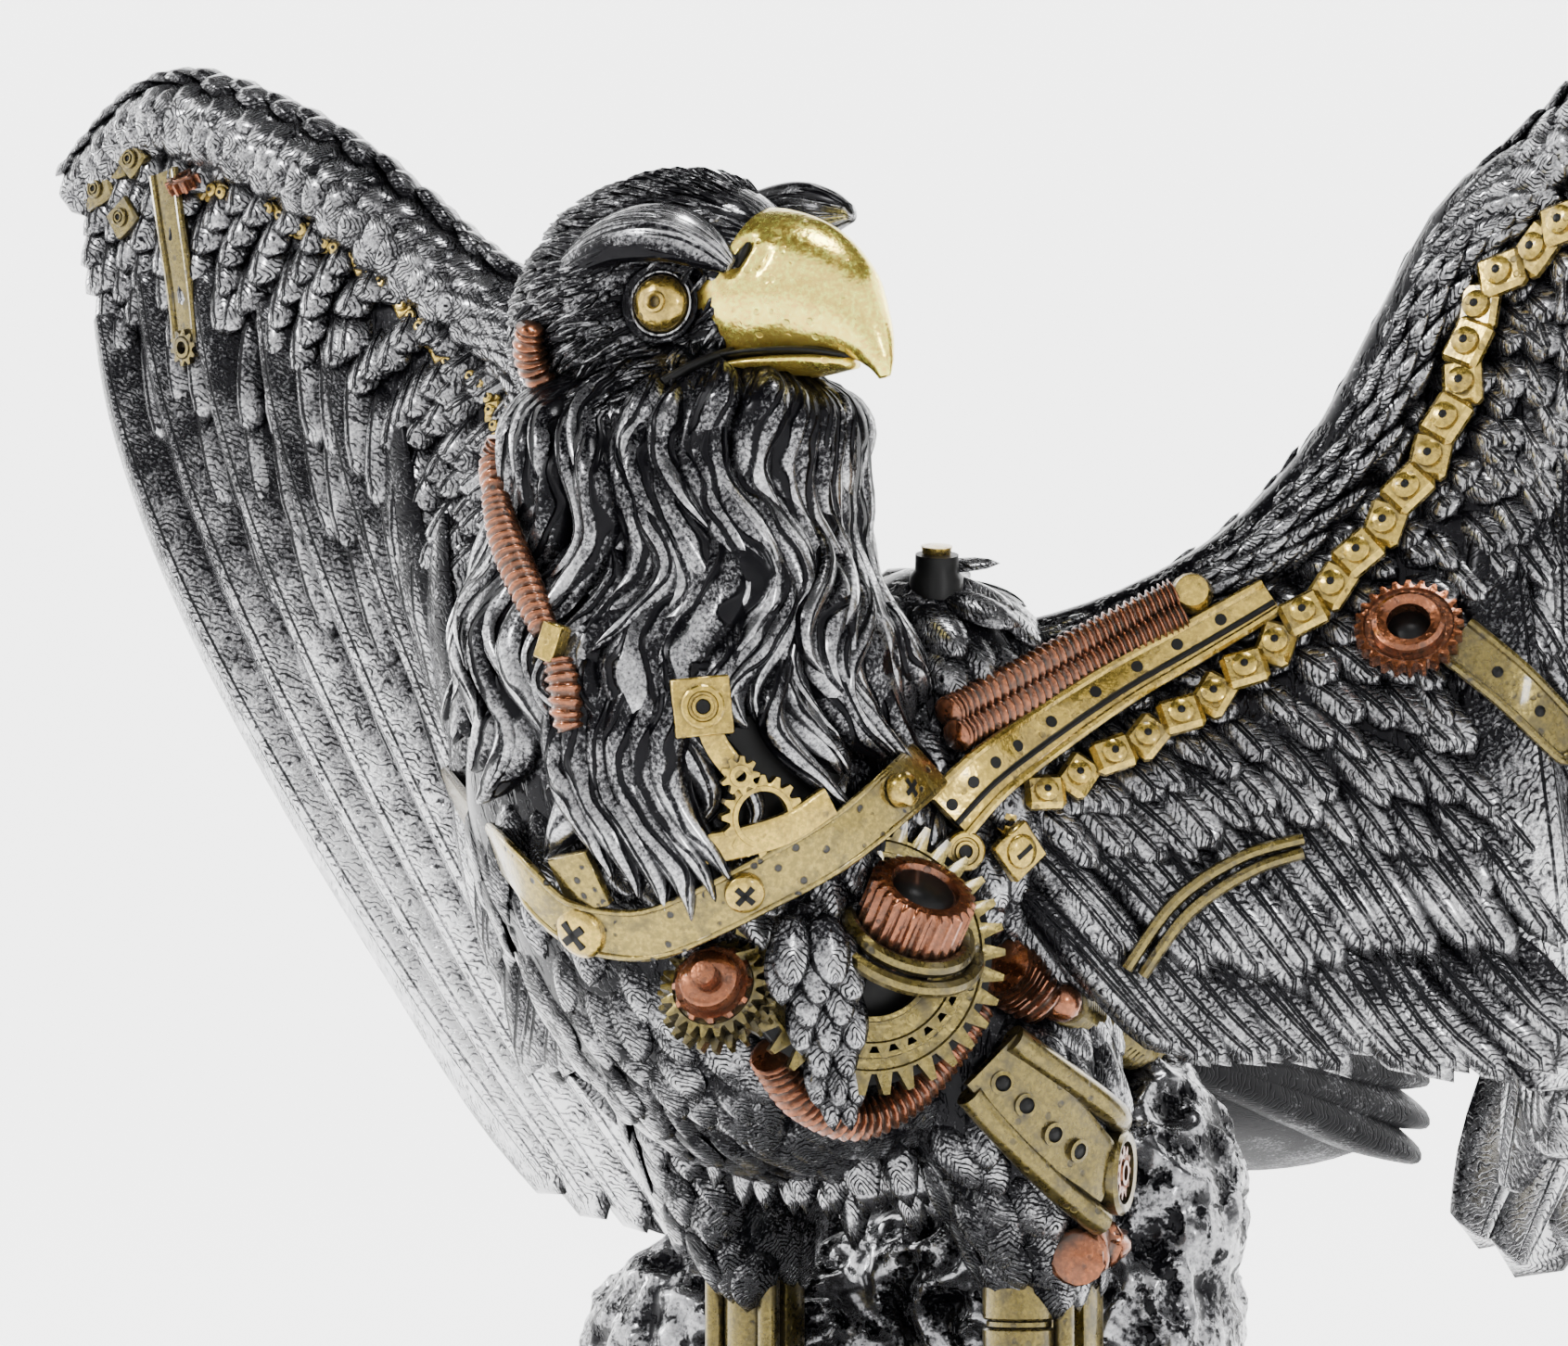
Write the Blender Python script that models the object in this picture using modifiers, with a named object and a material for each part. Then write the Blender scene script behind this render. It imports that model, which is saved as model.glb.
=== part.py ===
"""Steampunk eagle figurine: one cold-cast eagle with wings raised, standing on a rock plinth.

Metres, +Z up. The eagle's chest faces -Y, its left wing is on +X, and its head is turned to +X.
The origin is on the table, under the middle of the rock.
"""

import math

import bmesh
import bpy
from mathutils import Vector, noise

MM = 0.001

# Driving sizes
WING_THICKNESS = 7.0 * MM
TAIL_LENGTH = 94.0 * MM
TAIL_HALF_WIDTH = 32.0 * MM
LEG_SPREAD = 28.0 * MM
LEG_RADIUS = 6.0 * MM
KNEE_HEIGHT = 86.0 * MM
LEDGE_HEIGHT = 32.0 * MM
ROCK_HALF_WIDTH = 82.0 * MM
ROCK_HALF_DEPTH = 66.0 * MM
ROCK_PEAK_HEIGHT = 116.0 * MM
SEAT_CLEARANCE = 1.6 * MM

# How finely the two castings are described
FIGURE_VOXEL = 1.1 * MM
FIGURE_TRIANGLES = 7250
ROCK_VOXEL = 2.0 * MM
ROCK_TRIANGLES = 1150

SIDE = Vector((1.0, 0.0, 0.0))
UP = Vector((0.0, 0.0, 1.0))

# The neck and breast from the collar up, without the locks: height, middle x and y, half width
NECK_SHAPE = ((118, 0, -40, 36), (132, 0, -47, 36), (150, 0, -56, 34.5), (167, 2, -61, 32),
              (182, 3, -63, 27.5), (196, 4, -67, 25), (210, 5, -68, 24), (222, 5, -69, 21))
HEAD_Y = -70.0 * MM


def in_mm(*rows):
    """Rows of millimetres as rows of metres."""
    return [tuple(value * MM for value in row) for row in rows]


def blend(values, t):
    """A smooth curve through evenly spaced numbers or vectors, at t from 0 to 1."""
    last = len(values) - 1
    place = min(max(t, 0.0), 1.0) * last
    i = min(int(place), last - 1)
    f = place - i
    a, b = values[max(i - 1, 0)], values[i]
    c, d = values[i + 1], values[min(i + 2, last)]
    return 0.5 * (
        b * 2 + (c - a) * f
        + (a * 2 - b * 5 + c * 4 - d) * f * f
        + (b * 3 - a - c * 3 + d) * f * f * f
    )


def add_form(figure, around, along, place):
    """Adds one closed form: place(s, angle) gives the point at s along it and that angle round it."""
    made = bmesh.ops.create_uvsphere(figure, u_segments=around, v_segments=along, radius=1.0)
    for vert in made["verts"]:
        s = math.acos(max(-1.0, min(1.0, -vert.co.z))) / math.pi
        vert.co = place(s, math.atan2(vert.co.y, vert.co.x))
    bmesh.ops.recalc_face_normals(
        figure, faces=list({f for v in made["verts"] for f in v.link_faces}))


def add_sweep(figure, path, widths, heights, side, around=10, along=12):
    """A rounded bar along a smooth path. Widths lie along the side direction, heights across it."""
    points = [Vector(p) for p in path]

    def place(s, angle):
        centre = blend(points, s)
        tangent = (blend(points, s + 0.02) - blend(points, s - 0.02)).normalized()
        across = (side - tangent * side.dot(tangent)).normalized()
        normal = tangent.cross(across)
        return (centre + across * (blend(widths, s) * math.cos(angle))
                + normal * (blend(heights, s) * math.sin(angle)))

    add_form(figure, around, along, place)


def add_ball(figure, centre, radii, around=12, along=8):
    """An upright ellipsoid."""
    centre = Vector(centre)

    def place(s, angle):
        ring = math.sin(math.pi * s)
        return centre + Vector((radii[0] * ring * math.cos(angle),
                                radii[1] * ring * math.sin(angle),
                                -radii[2] * math.cos(math.pi * s)))

    add_form(figure, around, along, place)


# Torso, from inside the neck down the breast and back to the tail's root: x, y, z, half width, half depth
TORSO = in_mm(
    (2, -64, 176, 20, 20),
    (0, -60, 160, 33, 30),
    (0, -52, 145, 37, 35),
    (0, -36, 129, 37, 36),
    (0, -10, 120, 33, 30),
    (0, 16, 118, 27, 22),
    (0, 40, 115, 20, 13),
    (0, 60, 111, 14, 7),
)

# The skull along the way the head faces: x, y, z, half width, half height
SKULL = in_mm(
    (-21, -70, 222, 5, 7),
    (-17, -70, 223, 12, 11.5),
    (-8, -70, 226, 15.5, 16.5),
    (4, -70, 227, 16, 18),
    (14, -70, 228, 14, 15.5),
    (22, -70, 228, 9.5, 11),
    (25, -70, 228, 5, 6),
)
BEAK = in_mm(
    (14, -70, 226, 9, 11.5),
    (22, -70, 226.5, 9, 12.5),
    (29, -70, 225, 8.5, 11.5),
    (35, -70, 221.5, 6.5, 9),
    (39.5, -70, 217.5, 4, 5),
    (42, -70, 213.5, 2, 2.3),
    (43, -70, 210.5, 0.6, 0.8),
)
LOWER_BEAK = in_mm(
    (10, -70, 210, 11, 4),
    (24, -70, 210.5, 8.5, 3.5),
    (38, -70, 211, 4.0, 2.5),
)
EYE_PLACE = (10.0 * MM, 15.0 * MM, 226.0 * MM)
EYE_RADIUS = 5.0 * MM


def columns(rows, *which):
    return [[row[i] for row in rows] for i in which]


def add_rows(figure, rows, side, around, along):
    """A sweep whose rows hold x, y, z, width and height."""
    widths, heights = columns(rows, 3, 4)
    add_sweep(figure, [row[:3] for row in rows], widths, heights, side, around, along)


def add_head(figure):
    across = Vector((0.0, 1.0, 0.0))
    add_rows(figure, SKULL, across, 16, 14)
    add_rows(figure, BEAK, across, 12, 14)
    add_rows(figure, LOWER_BEAK, across, 10, 8)
    for hand in (-1, 1):
        x, reach, z = EYE_PLACE
        add_ball(figure, (x, HEAD_Y + hand * reach, z), (EYE_RADIUS,) * 3)
        brow = in_mm(
            (24, 0, 235), (16, 0, 238), (6, 0, 237), (-4, 0, 233))
        reach_out = in_mm((10,), (14.5,), (16.5,), (15.5,))
        path = [(x, HEAD_Y + hand * out[0], z) for (x, _, z), out in zip(brow, reach_out)]
        add_sweep(figure, path, [2.5 * MM] * 4, [2.2 * MM] * 4, across)


def neck_middle(z):
    """The neck's middle and its half width at a height."""
    heights = [row[0] * MM for row in NECK_SHAPE]
    at = len(heights) - 1
    for i in range(len(heights) - 1):
        if z < heights[i + 1]:
            at = max(0.0, i + (z - heights[i]) / (heights[i + 1] - heights[i]))
            break
    at /= len(heights) - 1
    x, y, r = [blend([row[k] * MM for row in NECK_SHAPE], at) for k in (1, 2, 3)]
    return Vector((x, y, z)), r


def neck_point(angle, z, out):
    """A point on the neck at an angle from the eagle's front, moving to its left."""
    middle, r = neck_middle(z)
    return middle + Vector((math.sin(angle), -math.cos(angle), 0.0)) * (r + out)


def add_neck(figure):
    low, high = NECK_SHAPE[0][0] * MM, NECK_SHAPE[-1][0] * MM

    def place(s, angle):
        rise = 0.5 - 0.5 * math.cos(math.pi * s)
        middle, r = neck_middle(low + (high - low) * rise)
        ring = r * math.sin(math.pi * s) ** 0.35
        return middle + Vector((math.cos(angle), math.sin(angle), 0.0)) * ring

    add_form(figure, 24, 18, place)


# Locks of the mane: how many, where they start and end, and how far they swing
LOCK_TIERS = (
    dict(count=13, top=178 * MM, bottom=136 * MM, out=0.8 * MM, width=6.5 * MM, swing=0.14),
    dict(count=12, top=194 * MM, bottom=150 * MM, out=1.2 * MM, width=6.0 * MM, swing=0.16),
    dict(count=11, top=210 * MM, bottom=168 * MM, out=1.2 * MM, width=5.5 * MM, swing=0.18),
)
LOCK_HEIGHT = 4.0 * MM


def add_locks(figure):
    for tier in LOCK_TIERS:
        for i in range(tier["count"]):
            start = 2 * math.pi * (i + 0.5 * (tier["count"] % 2)) / tier["count"]
            path = []
            for step in range(6):
                t = step / 5
                angle = start + tier["swing"] * math.sin(2 * math.pi * t + i)
                z = tier["top"] + (tier["bottom"] - tier["top"]) * t
                path.append(neck_point(angle, z, tier["out"]))
            out = (path[3] - neck_middle(path[3].z)[0]).normalized()
            width = tier["width"]
            add_sweep(figure, path,
                      [width * k for k in (0.5, 0.9, 1.0, 0.95, 0.7, 0.1)],
                      [LOCK_HEIGHT * k for k in (0.5, 0.9, 1.0, 1.0, 0.9, 0.4)],
                      out.cross(UP), around=6, along=8)


# Each wing runs from the shoulder (first row) to the outer edge (last row). A row is one line of
# feather flow, from the leading edge down to the tips: x, y, z of five points, for the left wing.
# The outer feathers fold in again behind the inner ones.
WING_ROWS = [in_mm(*row) for row in (
    ((20, -18, 171), (30, -32, 162), (36, -38, 149), (42, -34, 135), (47, -22, 121)),
    ((42, -12, 174), (46, -20, 163), (50, -23, 149), (54, -20, 132), (57, -10, 114)),
    ((63, 3, 187), (66, -4, 172), (69, -8, 154), (71, -6, 132), (72, 3, 113)),
    ((80, 15, 211), (84, 8, 191), (87, 4, 166), (88, 4, 138), (88, 12, 112)),
    ((92, 23, 242), (98, 17, 215), (102, 12, 182), (105, 13, 146), (106, 24, 111)),
    ((113, 24, 255), (116, 19, 230), (115, 18, 193), (107, 30, 144), (94, 47, 96)),
    ((138, 21, 276), (137, 18, 248), (127, 22, 204), (106, 40, 138), (77, 57, 83)),
    ((161, 20, 289), (160, 19, 259), (149, 25, 212), (122, 43, 142), (86, 58, 77)),
    ((184, 19, 298), (184, 20, 266), (172, 29, 216), (141, 46, 146), (98, 57, 79)),
    ((203, 20, 288), (202, 22, 260), (190, 31, 214), (157, 46, 150), (111, 56, 86)),
)]
RIGHT_FOLD = 12.0 * MM


def wing_rows(hand):
    """The wing's rows, with hand 1 for the left wing. The right wing is folded in a little more."""
    fold = RIGHT_FOLD if hand < 0 else 0.0
    rows = []
    for i, row in enumerate(WING_ROWS):
        pull = fold * math.sin(math.pi * min(1.0, i / 7.0))
        rows.append([((x - pull * (j / 4.0) ** 2) * hand, y, z) for j, (x, y, z) in enumerate(row)])
    return rows


LEFT_WING = wing_rows(1)
RIGHT_WING = wing_rows(-1)


def wing_point(wing, u, v):
    """A point on the middle of the wing: u from shoulder to outer edge, v from leading edge to tip."""
    rows = [blend([Vector(p) for p in row], v) for row in wing]
    return blend(rows, u)


def wing_normal(wing, u, v):
    """Towards the wing's underside, which faces the front."""
    du = wing_point(wing, u + 0.02, v) - wing_point(wing, u - 0.02, v)
    dv = wing_point(wing, u, v + 0.02) - wing_point(wing, u, v - 0.02)
    normal = du.cross(dv).normalized()
    return normal if normal.y < 0 else -normal


def add_wing_sheet(figure, wing):
    along = 20
    first = 1.0 / along

    def place(s, angle):
        u = (s - first) / (1 - 2 * first)
        v = 0.5 - 0.5 * math.cos(angle)
        half = WING_THICKNESS * (0.62 - 0.42 * v)
        return wing_point(wing, u, v) + wing_normal(wing, u, v) * (half * math.sin(angle))

    add_form(figure, 20, along, place)


def add_wing_feather(figure, wing, u, v_base, v_tip, width, height, lift, along=7, lean=0.0):
    """One feather lying on the wing. Lift is its height over the wing's middle, below 0 on the back."""
    path, facing = [], []
    for step in range(6):
        t = step / 5
        v = v_base + (v_tip - v_base) * t
        at_u = u + lean * t
        normal = wing_normal(wing, at_u, v)
        path.append(wing_point(wing, at_u, v) + normal * lift * (0.7 + 0.45 * t))
        facing.append(normal)
    tangent = (path[-1] - path[0]).normalized()
    add_sweep(figure, path,
              [width * k for k in (0.45, 0.9, 1.0, 1.0, 0.85, 0.25)],
              [height * k for k in (0.7, 1.0, 1.0, 0.95, 0.8, 0.4)],
              tangent.cross(facing[2]), around=6, along=along)


# Flight feathers, then rows of coverts over them: (how many, where the feathers start and end
# down the wing, half width, half height, and how far they stand off the wing's middle)
FLIGHT_COUNT = 11
COVERT_ROWS = (
    dict(count=12, base=0.62, tip=0.90, width=6.0 * MM, height=1.5 * MM, lift=2.8 * MM),
    dict(count=13, base=0.46, tip=0.74, width=5.4 * MM, height=1.5 * MM, lift=3.6 * MM),
    dict(count=13, base=0.31, tip=0.58, width=5.2 * MM, height=1.5 * MM, lift=4.2 * MM),
    dict(count=14, base=0.17, tip=0.42, width=5.0 * MM, height=1.5 * MM, lift=4.6 * MM),
)
BACK_ROWS = (
    dict(count=11, base=0.45, tip=0.78, width=6.5 * MM, height=1.5 * MM, lift=-3.4 * MM),
    dict(count=12, base=0.15, tip=0.52, width=6.0 * MM, height=1.5 * MM, lift=-4.4 * MM),
)


def add_wing(figure, wing):
    add_wing_sheet(figure, wing)
    for i in range(FLIGHT_COUNT):
        u = (i + 0.35) / (FLIGHT_COUNT - 0.4)
        add_wing_feather(figure, wing, min(u, 0.985), 0.35, 1.02, (6.0 + 2.5 * u) * MM,
                         1.9 * MM, (0.5 + 0.5 * (i % 2)) * MM, along=9)
    for row in COVERT_ROWS + BACK_ROWS:
        for i in range(row["count"]):
            add_wing_feather(figure, wing, (i + 0.5) / row["count"], row["base"], row["tip"],
                             row["width"], row["height"], row["lift"])
    add_leading_edge(figure, wing)


def add_leading_edge(figure, wing):
    """The rounded arm along the top of the wing, with its scale feathers pointing outwards."""
    steps = 12
    path = [wing_point(wing, i / steps, 0.045) for i in range(steps + 1)]
    radii = [blend([9 * MM, 9.5 * MM, 8.5 * MM, 8.5 * MM, 8 * MM, 5 * MM], i / steps)
             for i in range(steps + 1)]
    add_sweep(figure, path, radii, [r * 0.8 for r in radii], UP, around=10, along=24)
    scales = 13
    for i in range(scales):
        u = (i + 0.5) / scales
        ahead = wing_point(wing, min(u + 0.09, 1.0), 0.045)
        here = wing_point(wing, u, 0.045)
        normal = wing_normal(wing, u, 0.045)
        for turn in (-0.9, 0.1, 1.0):
            rise = (ahead - here).normalized().cross(normal).normalized()
            out = (normal * math.cos(turn) + rise * math.sin(turn)) * 7.0 * MM
            add_sweep(figure, [here + out * 0.75, here.lerp(ahead, 0.6) + out * 1.1,
                               ahead + out * 1.12],
                      [3.4 * MM, 4.4 * MM, 1.6 * MM], [1.2 * MM, 1.6 * MM, 0.8 * MM],
                      out.cross(ahead - here), around=6, along=5)


TAIL_FEATHERS = 9
TAIL_ROOT = Vector((0.0, 46 * MM, 114 * MM))
TAIL_DROP = 0.24


def add_tail(figure):
    for i in range(TAIL_FEATHERS):
        side = 2 * i / (TAIL_FEATHERS - 1) - 1
        root = TAIL_ROOT + SIDE * side * 13 * MM
        tip = TAIL_ROOT + Vector((side * TAIL_HALF_WIDTH,
                                  TAIL_LENGTH * (1 - 0.08 * side * side),
                                  -TAIL_LENGTH * TAIL_DROP - abs(side) * 2 * MM))
        bow = Vector((0, 0, 3 * MM))
        add_sweep(figure, [root, root.lerp(tip, 0.4) + bow, root.lerp(tip, 0.75) + bow, tip],
                  [6 * MM, 7.5 * MM, 8.5 * MM, 2.5 * MM], [3 * MM, 2.6 * MM, 2.2 * MM, 1.2 * MM],
                  SIDE, around=8, along=10)


def add_leg(figure, hand):
    """A feathered thigh, a strut for a shank and a foot of three toes and a spur."""
    hip = Vector((hand * 20 * MM, -18 * MM, 128 * MM))
    knee = Vector((hand * LEG_SPREAD, -3 * MM, KNEE_HEIGHT - 8 * MM))
    add_sweep(figure, [hip, hip.lerp(knee, 0.45) + SIDE * hand * 3 * MM, knee],
              [17 * MM, 17 * MM, 10 * MM], [24 * MM, 21 * MM, 12 * MM], SIDE, around=14, along=10)
    ankle = Vector((hand * LEG_SPREAD, -6 * MM, LEDGE_HEIGHT + 10 * MM))
    add_sweep(figure, [knee + UP * 6 * MM, ankle], [LEG_RADIUS] * 2, [LEG_RADIUS] * 2,
              SIDE, around=10, along=6)
    add_ball(figure, ankle, (9 * MM, 9 * MM, 7 * MM))
    for turn in (-0.62, 0.0, 0.62, math.pi):
        ahead = Vector((math.sin(turn) * hand, -math.cos(turn), 0.0))
        reach = 20 * MM if turn == math.pi else 30 * MM
        sole = LEDGE_HEIGHT + 4.2 * MM
        start = Vector((ankle.x, ankle.y, sole + 3 * MM))
        add_sweep(figure, [start, start + ahead * reach * 0.45 + UP * 2.5 * MM,
                           start + ahead * reach * 0.8 - UP * 1.5 * MM,
                           start + ahead * (reach + 5 * MM) - UP * 5.0 * MM],
                  [5 * MM, 4.4 * MM, 3.6 * MM, 0.8 * MM], [5 * MM, 4.4 * MM, 3.6 * MM, 0.8 * MM],
                  ahead.cross(UP), around=8, along=9)


# Hardware cast on the eagle, which only shows as relief here
COLLAR_WIDTH = 6.5 * MM
COLLAR_RELIEF = 2.4 * MM


def collar_point(turn):
    """The collar's middle line round the breast, lowest at the front."""
    z = 130 * MM + 14 * MM * abs(turn)
    return neck_point(turn, z, 3.0 * MM)


def add_collar(figure):
    steps = 24
    path = [collar_point(-2.1 + 3.7 * i / steps) for i in range(steps + 1)]

    def place(s, angle):
        centre = blend(path, s)
        out = (centre - neck_middle(centre.z)[0]).normalized()
        return (centre + UP * (COLLAR_WIDTH * math.cos(angle))
                + out * (COLLAR_RELIEF * math.sin(angle)))

    add_form(figure, 8, steps, place)


def front_of_wing(hand, x, z, out):
    """A point off the wing's front, above its skin at that place."""
    wing = LEFT_WING if hand > 0 else RIGHT_WING
    best = None
    for i in range(41):
        for j in range(41):
            u, v = i / 40, j / 40
            point = wing_point(wing, u, v)
            miss = math.hypot(point.x - x * hand, point.z - z) + max(0.0, point.y - 30 * MM)
            if best is None or miss < best[0]:
                best = (miss, u, v)
    normal = wing_normal(wing, best[1], best[2])
    return wing_point(wing, best[1], best[2]) + normal * out, normal


# Middle lines of the plate and of the chain on the wing: x and z
PLATE_LINE = in_mm((38, 150), (47, 160), (57, 170), (66, 181), (73, 193))
CHAIN_LINE = in_mm((46, 149), (62, 163), (77, 179), (90, 198), (96, 214), (100, 228),
                   (116, 240), (132, 254), (150, 266), (170, 277), (192, 285))


def add_wing_plate(figure):
    """The long plate that carries the collar on to the left wing."""
    spots = [front_of_wing(1, x, z, 4.0 * MM) for x, z in PLATE_LINE]
    path = [spot for spot, _ in spots]
    side = (path[-1] - path[0]).cross(spots[2][1]).normalized()
    add_sweep(figure, path, [6 * MM, 6.5 * MM, 6 * MM, 4.5 * MM, 2 * MM], [2 * MM] * 5, side,
              around=8, along=12)


def add_chain(figure, hand, links):
    line = [Vector((x, 0.0, z)) for x, z in CHAIN_LINE]
    for i in range(links):
        at = blend(line, i / (links - 1))
        centre, _ = front_of_wing(hand, at.x, at.z, 4.5 * MM)
        add_ball(figure, centre, (4.4 * MM, 3 * MM, 4.4 * MM), around=8, along=5)


def add_ring(figure, centre, facing, radius, thickness, around=18):
    """A gear blank or ring, as a flat ball."""
    facing = facing.normalized()
    across = facing.orthogonal().normalized()
    upward = facing.cross(across)

    def place(s, angle):
        ring = radius * math.sin(math.pi * s) ** 0.35
        return (centre + across * (ring * math.cos(angle)) + upward * (ring * math.sin(angle))
                - facing * (thickness * math.cos(math.pi * s)))

    add_form(figure, around, 8, place)


def add_hardware(figure):
    add_collar(figure)
    add_wing_plate(figure)
    for hand in (-1, 1):
        add_chain(figure, hand, 22)
        gear, facing = front_of_wing(hand, 88 * MM, 177 * MM, 4 * MM)
        add_ring(figure, gear, facing, 8 * MM, 3 * MM)
        box, facing = front_of_wing(hand, 188 * MM, 283 * MM, 3 * MM)
        add_ring(figure, box, facing, 9 * MM, 5 * MM)
    breast = Vector((24 * MM, -69 * MM, 120 * MM))
    add_ring(figure, breast, Vector((0.6, -0.75, -0.3)), 18 * MM, 4 * MM, around=24)
    knee = Vector((LEG_SPREAD + 13 * MM, 1 * MM, KNEE_HEIGHT + 7 * MM))
    add_ring(figure, knee, Vector((0.8, -0.6, 0.1)), 7 * MM, 4 * MM)


def object_from(bm, name, collection):
    mesh = bpy.data.meshes.new(name)
    bm.to_mesh(mesh)
    bm.free()
    made = bpy.data.objects.new(name, mesh)
    collection.objects.link(made)
    return made


def fuse(obj, voxel):
    """Casts the overlapping forms of an object into one skin."""
    skin = obj.modifiers.new("skin", "REMESH")
    skin.mode = "VOXEL"
    skin.voxel_size = voxel


def thin_to(obj, triangles):
    """Keeps the skin's shape with about that many triangles."""
    count = len(obj.evaluated_get(bpy.context.evaluated_depsgraph_get()).data.polygons)
    thinned = obj.modifiers.new("facets", "DECIMATE")
    thinned.ratio = min(1.0, triangles / (2.0 * count))
    thinned.use_collapse_triangulate = True


def build_eagle(collection):
    figure = bmesh.new()
    add_rows(figure, TORSO, SIDE, 20, 18)
    add_neck(figure)
    add_head(figure)
    add_locks(figure)
    for wing in (LEFT_WING, RIGHT_WING):
        add_wing(figure, wing)
    for hand in (-1, 1):
        add_ball(figure, (hand * 24 * MM, -30 * MM, 152 * MM), (22 * MM, 22 * MM, 26 * MM))
    add_tail(figure)
    for hand in (-1, 1):
        add_leg(figure, hand)
    add_hardware(figure)
    return object_from(figure, "eagle", collection)


def rock_noise(point):
    return noise.fractal(point * 38.0, 0.9, 2.1, 4) * 5.0 * MM


def add_boulder(rock, centre, radii, height):
    """A craggy lump from below the table to its height."""
    centre = Vector(centre)

    def place(s, angle):
        rise = -8 * MM + (height + 8 * MM) * s
        ring = math.sin(math.pi * min(s * 4, 0.5)) * math.sin(math.pi * min((1 - s) * 2.4, 0.5))
        point = centre + Vector((radii[0] * ring * math.cos(angle),
                                 radii[1] * ring * math.sin(angle), rise))
        out = Vector((math.cos(angle), math.sin(angle), 0.0))
        return point + out * rock_noise(point + centre)

    add_form(rock, 28, 18, place)


def build_rock(collection):
    rock = bmesh.new()
    ledge = LEDGE_HEIGHT + 2 * MM
    add_boulder(rock, (0, 0, 0), (ROCK_HALF_WIDTH, ROCK_HALF_DEPTH), ledge)
    add_boulder(rock, (24 * MM, 34 * MM, 0), (18 * MM, 20 * MM), ROCK_PEAK_HEIGHT)
    add_boulder(rock, (-50 * MM, 24 * MM, 0), (29 * MM, 25 * MM), 0.73 * ROCK_PEAK_HEIGHT)
    add_boulder(rock, (-8 * MM, 38 * MM, 0), (40 * MM, 22 * MM), 0.83 * ROCK_PEAK_HEIGHT)
    return object_from(rock, "rock_plinth", collection)


def cut_with(obj, cutter, name):
    cut = obj.modifiers.new(name, "BOOLEAN")
    cut.operation = "DIFFERENCE"
    cut.object = cutter
    cut.solver = "EXACT"


def as_cutter(obj):
    obj.hide_render = True
    obj.display_type = "WIRE"


def seat_cutter(eagle, collection):
    """The eagle's shape, swollen by the clearance, which the rock is cut by."""
    cutter = bpy.data.objects.new("seat_cutter", eagle.data)
    collection.objects.link(cutter)
    fuse(cutter, FIGURE_VOXEL * 1.2)
    swell = cutter.modifiers.new("clearance", "DISPLACE")
    swell.strength = SEAT_CLEARANCE
    swell.mid_level = 0.0
    as_cutter(cutter)
    return cutter


def table_cutter(collection):
    """A block that cuts the rock flat where it stands."""
    depth = 60 * MM
    bm = bmesh.new()
    bmesh.ops.create_cube(bm, size=1.0)
    for vert in bm.verts:
        vert.co = Vector((vert.co.x * 0.5, vert.co.y * 0.5, (vert.co.z - 0.5) * depth))
    cutter = object_from(bm, "table_cutter", collection)
    as_cutter(cutter)
    return cutter


def give_material(obj, name, colour, metallic, roughness):
    material = bpy.data.materials.new(name)
    material.use_nodes = True
    shader = material.node_tree.nodes["Principled BSDF"]
    shader.inputs["Base Color"].default_value = (*colour, 1.0)
    shader.inputs["Metallic"].default_value = metallic
    shader.inputs["Roughness"].default_value = roughness
    obj.data.materials.append(material)


def new_collection(name):
    made = bpy.data.collections.new(name)
    bpy.context.scene.collection.children.link(made)
    return made


def main():
    for old in list(bpy.data.objects):
        bpy.data.objects.remove(old)
    figurine = new_collection("steampunk_eagle")
    cutters = new_collection("cutters")

    eagle = build_eagle(figurine)
    give_material(eagle, "antique_silver", (0.34, 0.34, 0.36), 0.8, 0.4)
    fuse(eagle, FIGURE_VOXEL)
    thin_to(eagle, FIGURE_TRIANGLES)

    rock = build_rock(figurine)
    give_material(rock, "dark_rock", (0.16, 0.16, 0.17), 0.5, 0.5)
    fuse(rock, ROCK_VOXEL)
    thin_to(rock, ROCK_TRIANGLES)
    cut_with(rock, seat_cutter(eagle, cutters), "seat")
    cut_with(rock, table_cutter(cutters), "table")


main()
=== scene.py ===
import math

import bmesh
import bpy
import numpy as np
from mathutils import Matrix, Vector, noise
from mathutils.bvhtree import BVHTree


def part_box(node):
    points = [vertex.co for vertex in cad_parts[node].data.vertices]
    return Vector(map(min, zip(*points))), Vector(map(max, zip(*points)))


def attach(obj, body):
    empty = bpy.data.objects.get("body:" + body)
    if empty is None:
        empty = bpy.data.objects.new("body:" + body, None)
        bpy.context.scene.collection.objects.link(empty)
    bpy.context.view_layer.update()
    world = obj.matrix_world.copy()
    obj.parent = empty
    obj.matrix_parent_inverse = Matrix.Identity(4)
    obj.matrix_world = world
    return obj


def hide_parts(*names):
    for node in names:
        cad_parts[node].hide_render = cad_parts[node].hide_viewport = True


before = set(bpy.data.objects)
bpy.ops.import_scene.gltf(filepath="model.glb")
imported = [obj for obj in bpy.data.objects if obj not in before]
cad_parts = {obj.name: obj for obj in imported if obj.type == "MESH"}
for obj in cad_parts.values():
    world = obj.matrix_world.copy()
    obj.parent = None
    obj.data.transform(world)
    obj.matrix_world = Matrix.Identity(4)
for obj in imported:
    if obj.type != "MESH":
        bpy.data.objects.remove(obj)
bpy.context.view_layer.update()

MM = 0.001
BODY = "root"
rng = np.random.default_rng(7)
CLEAR = 0.7  # how free of dirt and painted shade most metal parts are


# Curves through evenly spaced values, for whole arrays of places at once

def vec(*numbers):
    return np.array(numbers, float)


def unit(a):
    return a / np.maximum(np.linalg.norm(a, axis=-1, keepdims=True), 1e-12)


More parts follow.
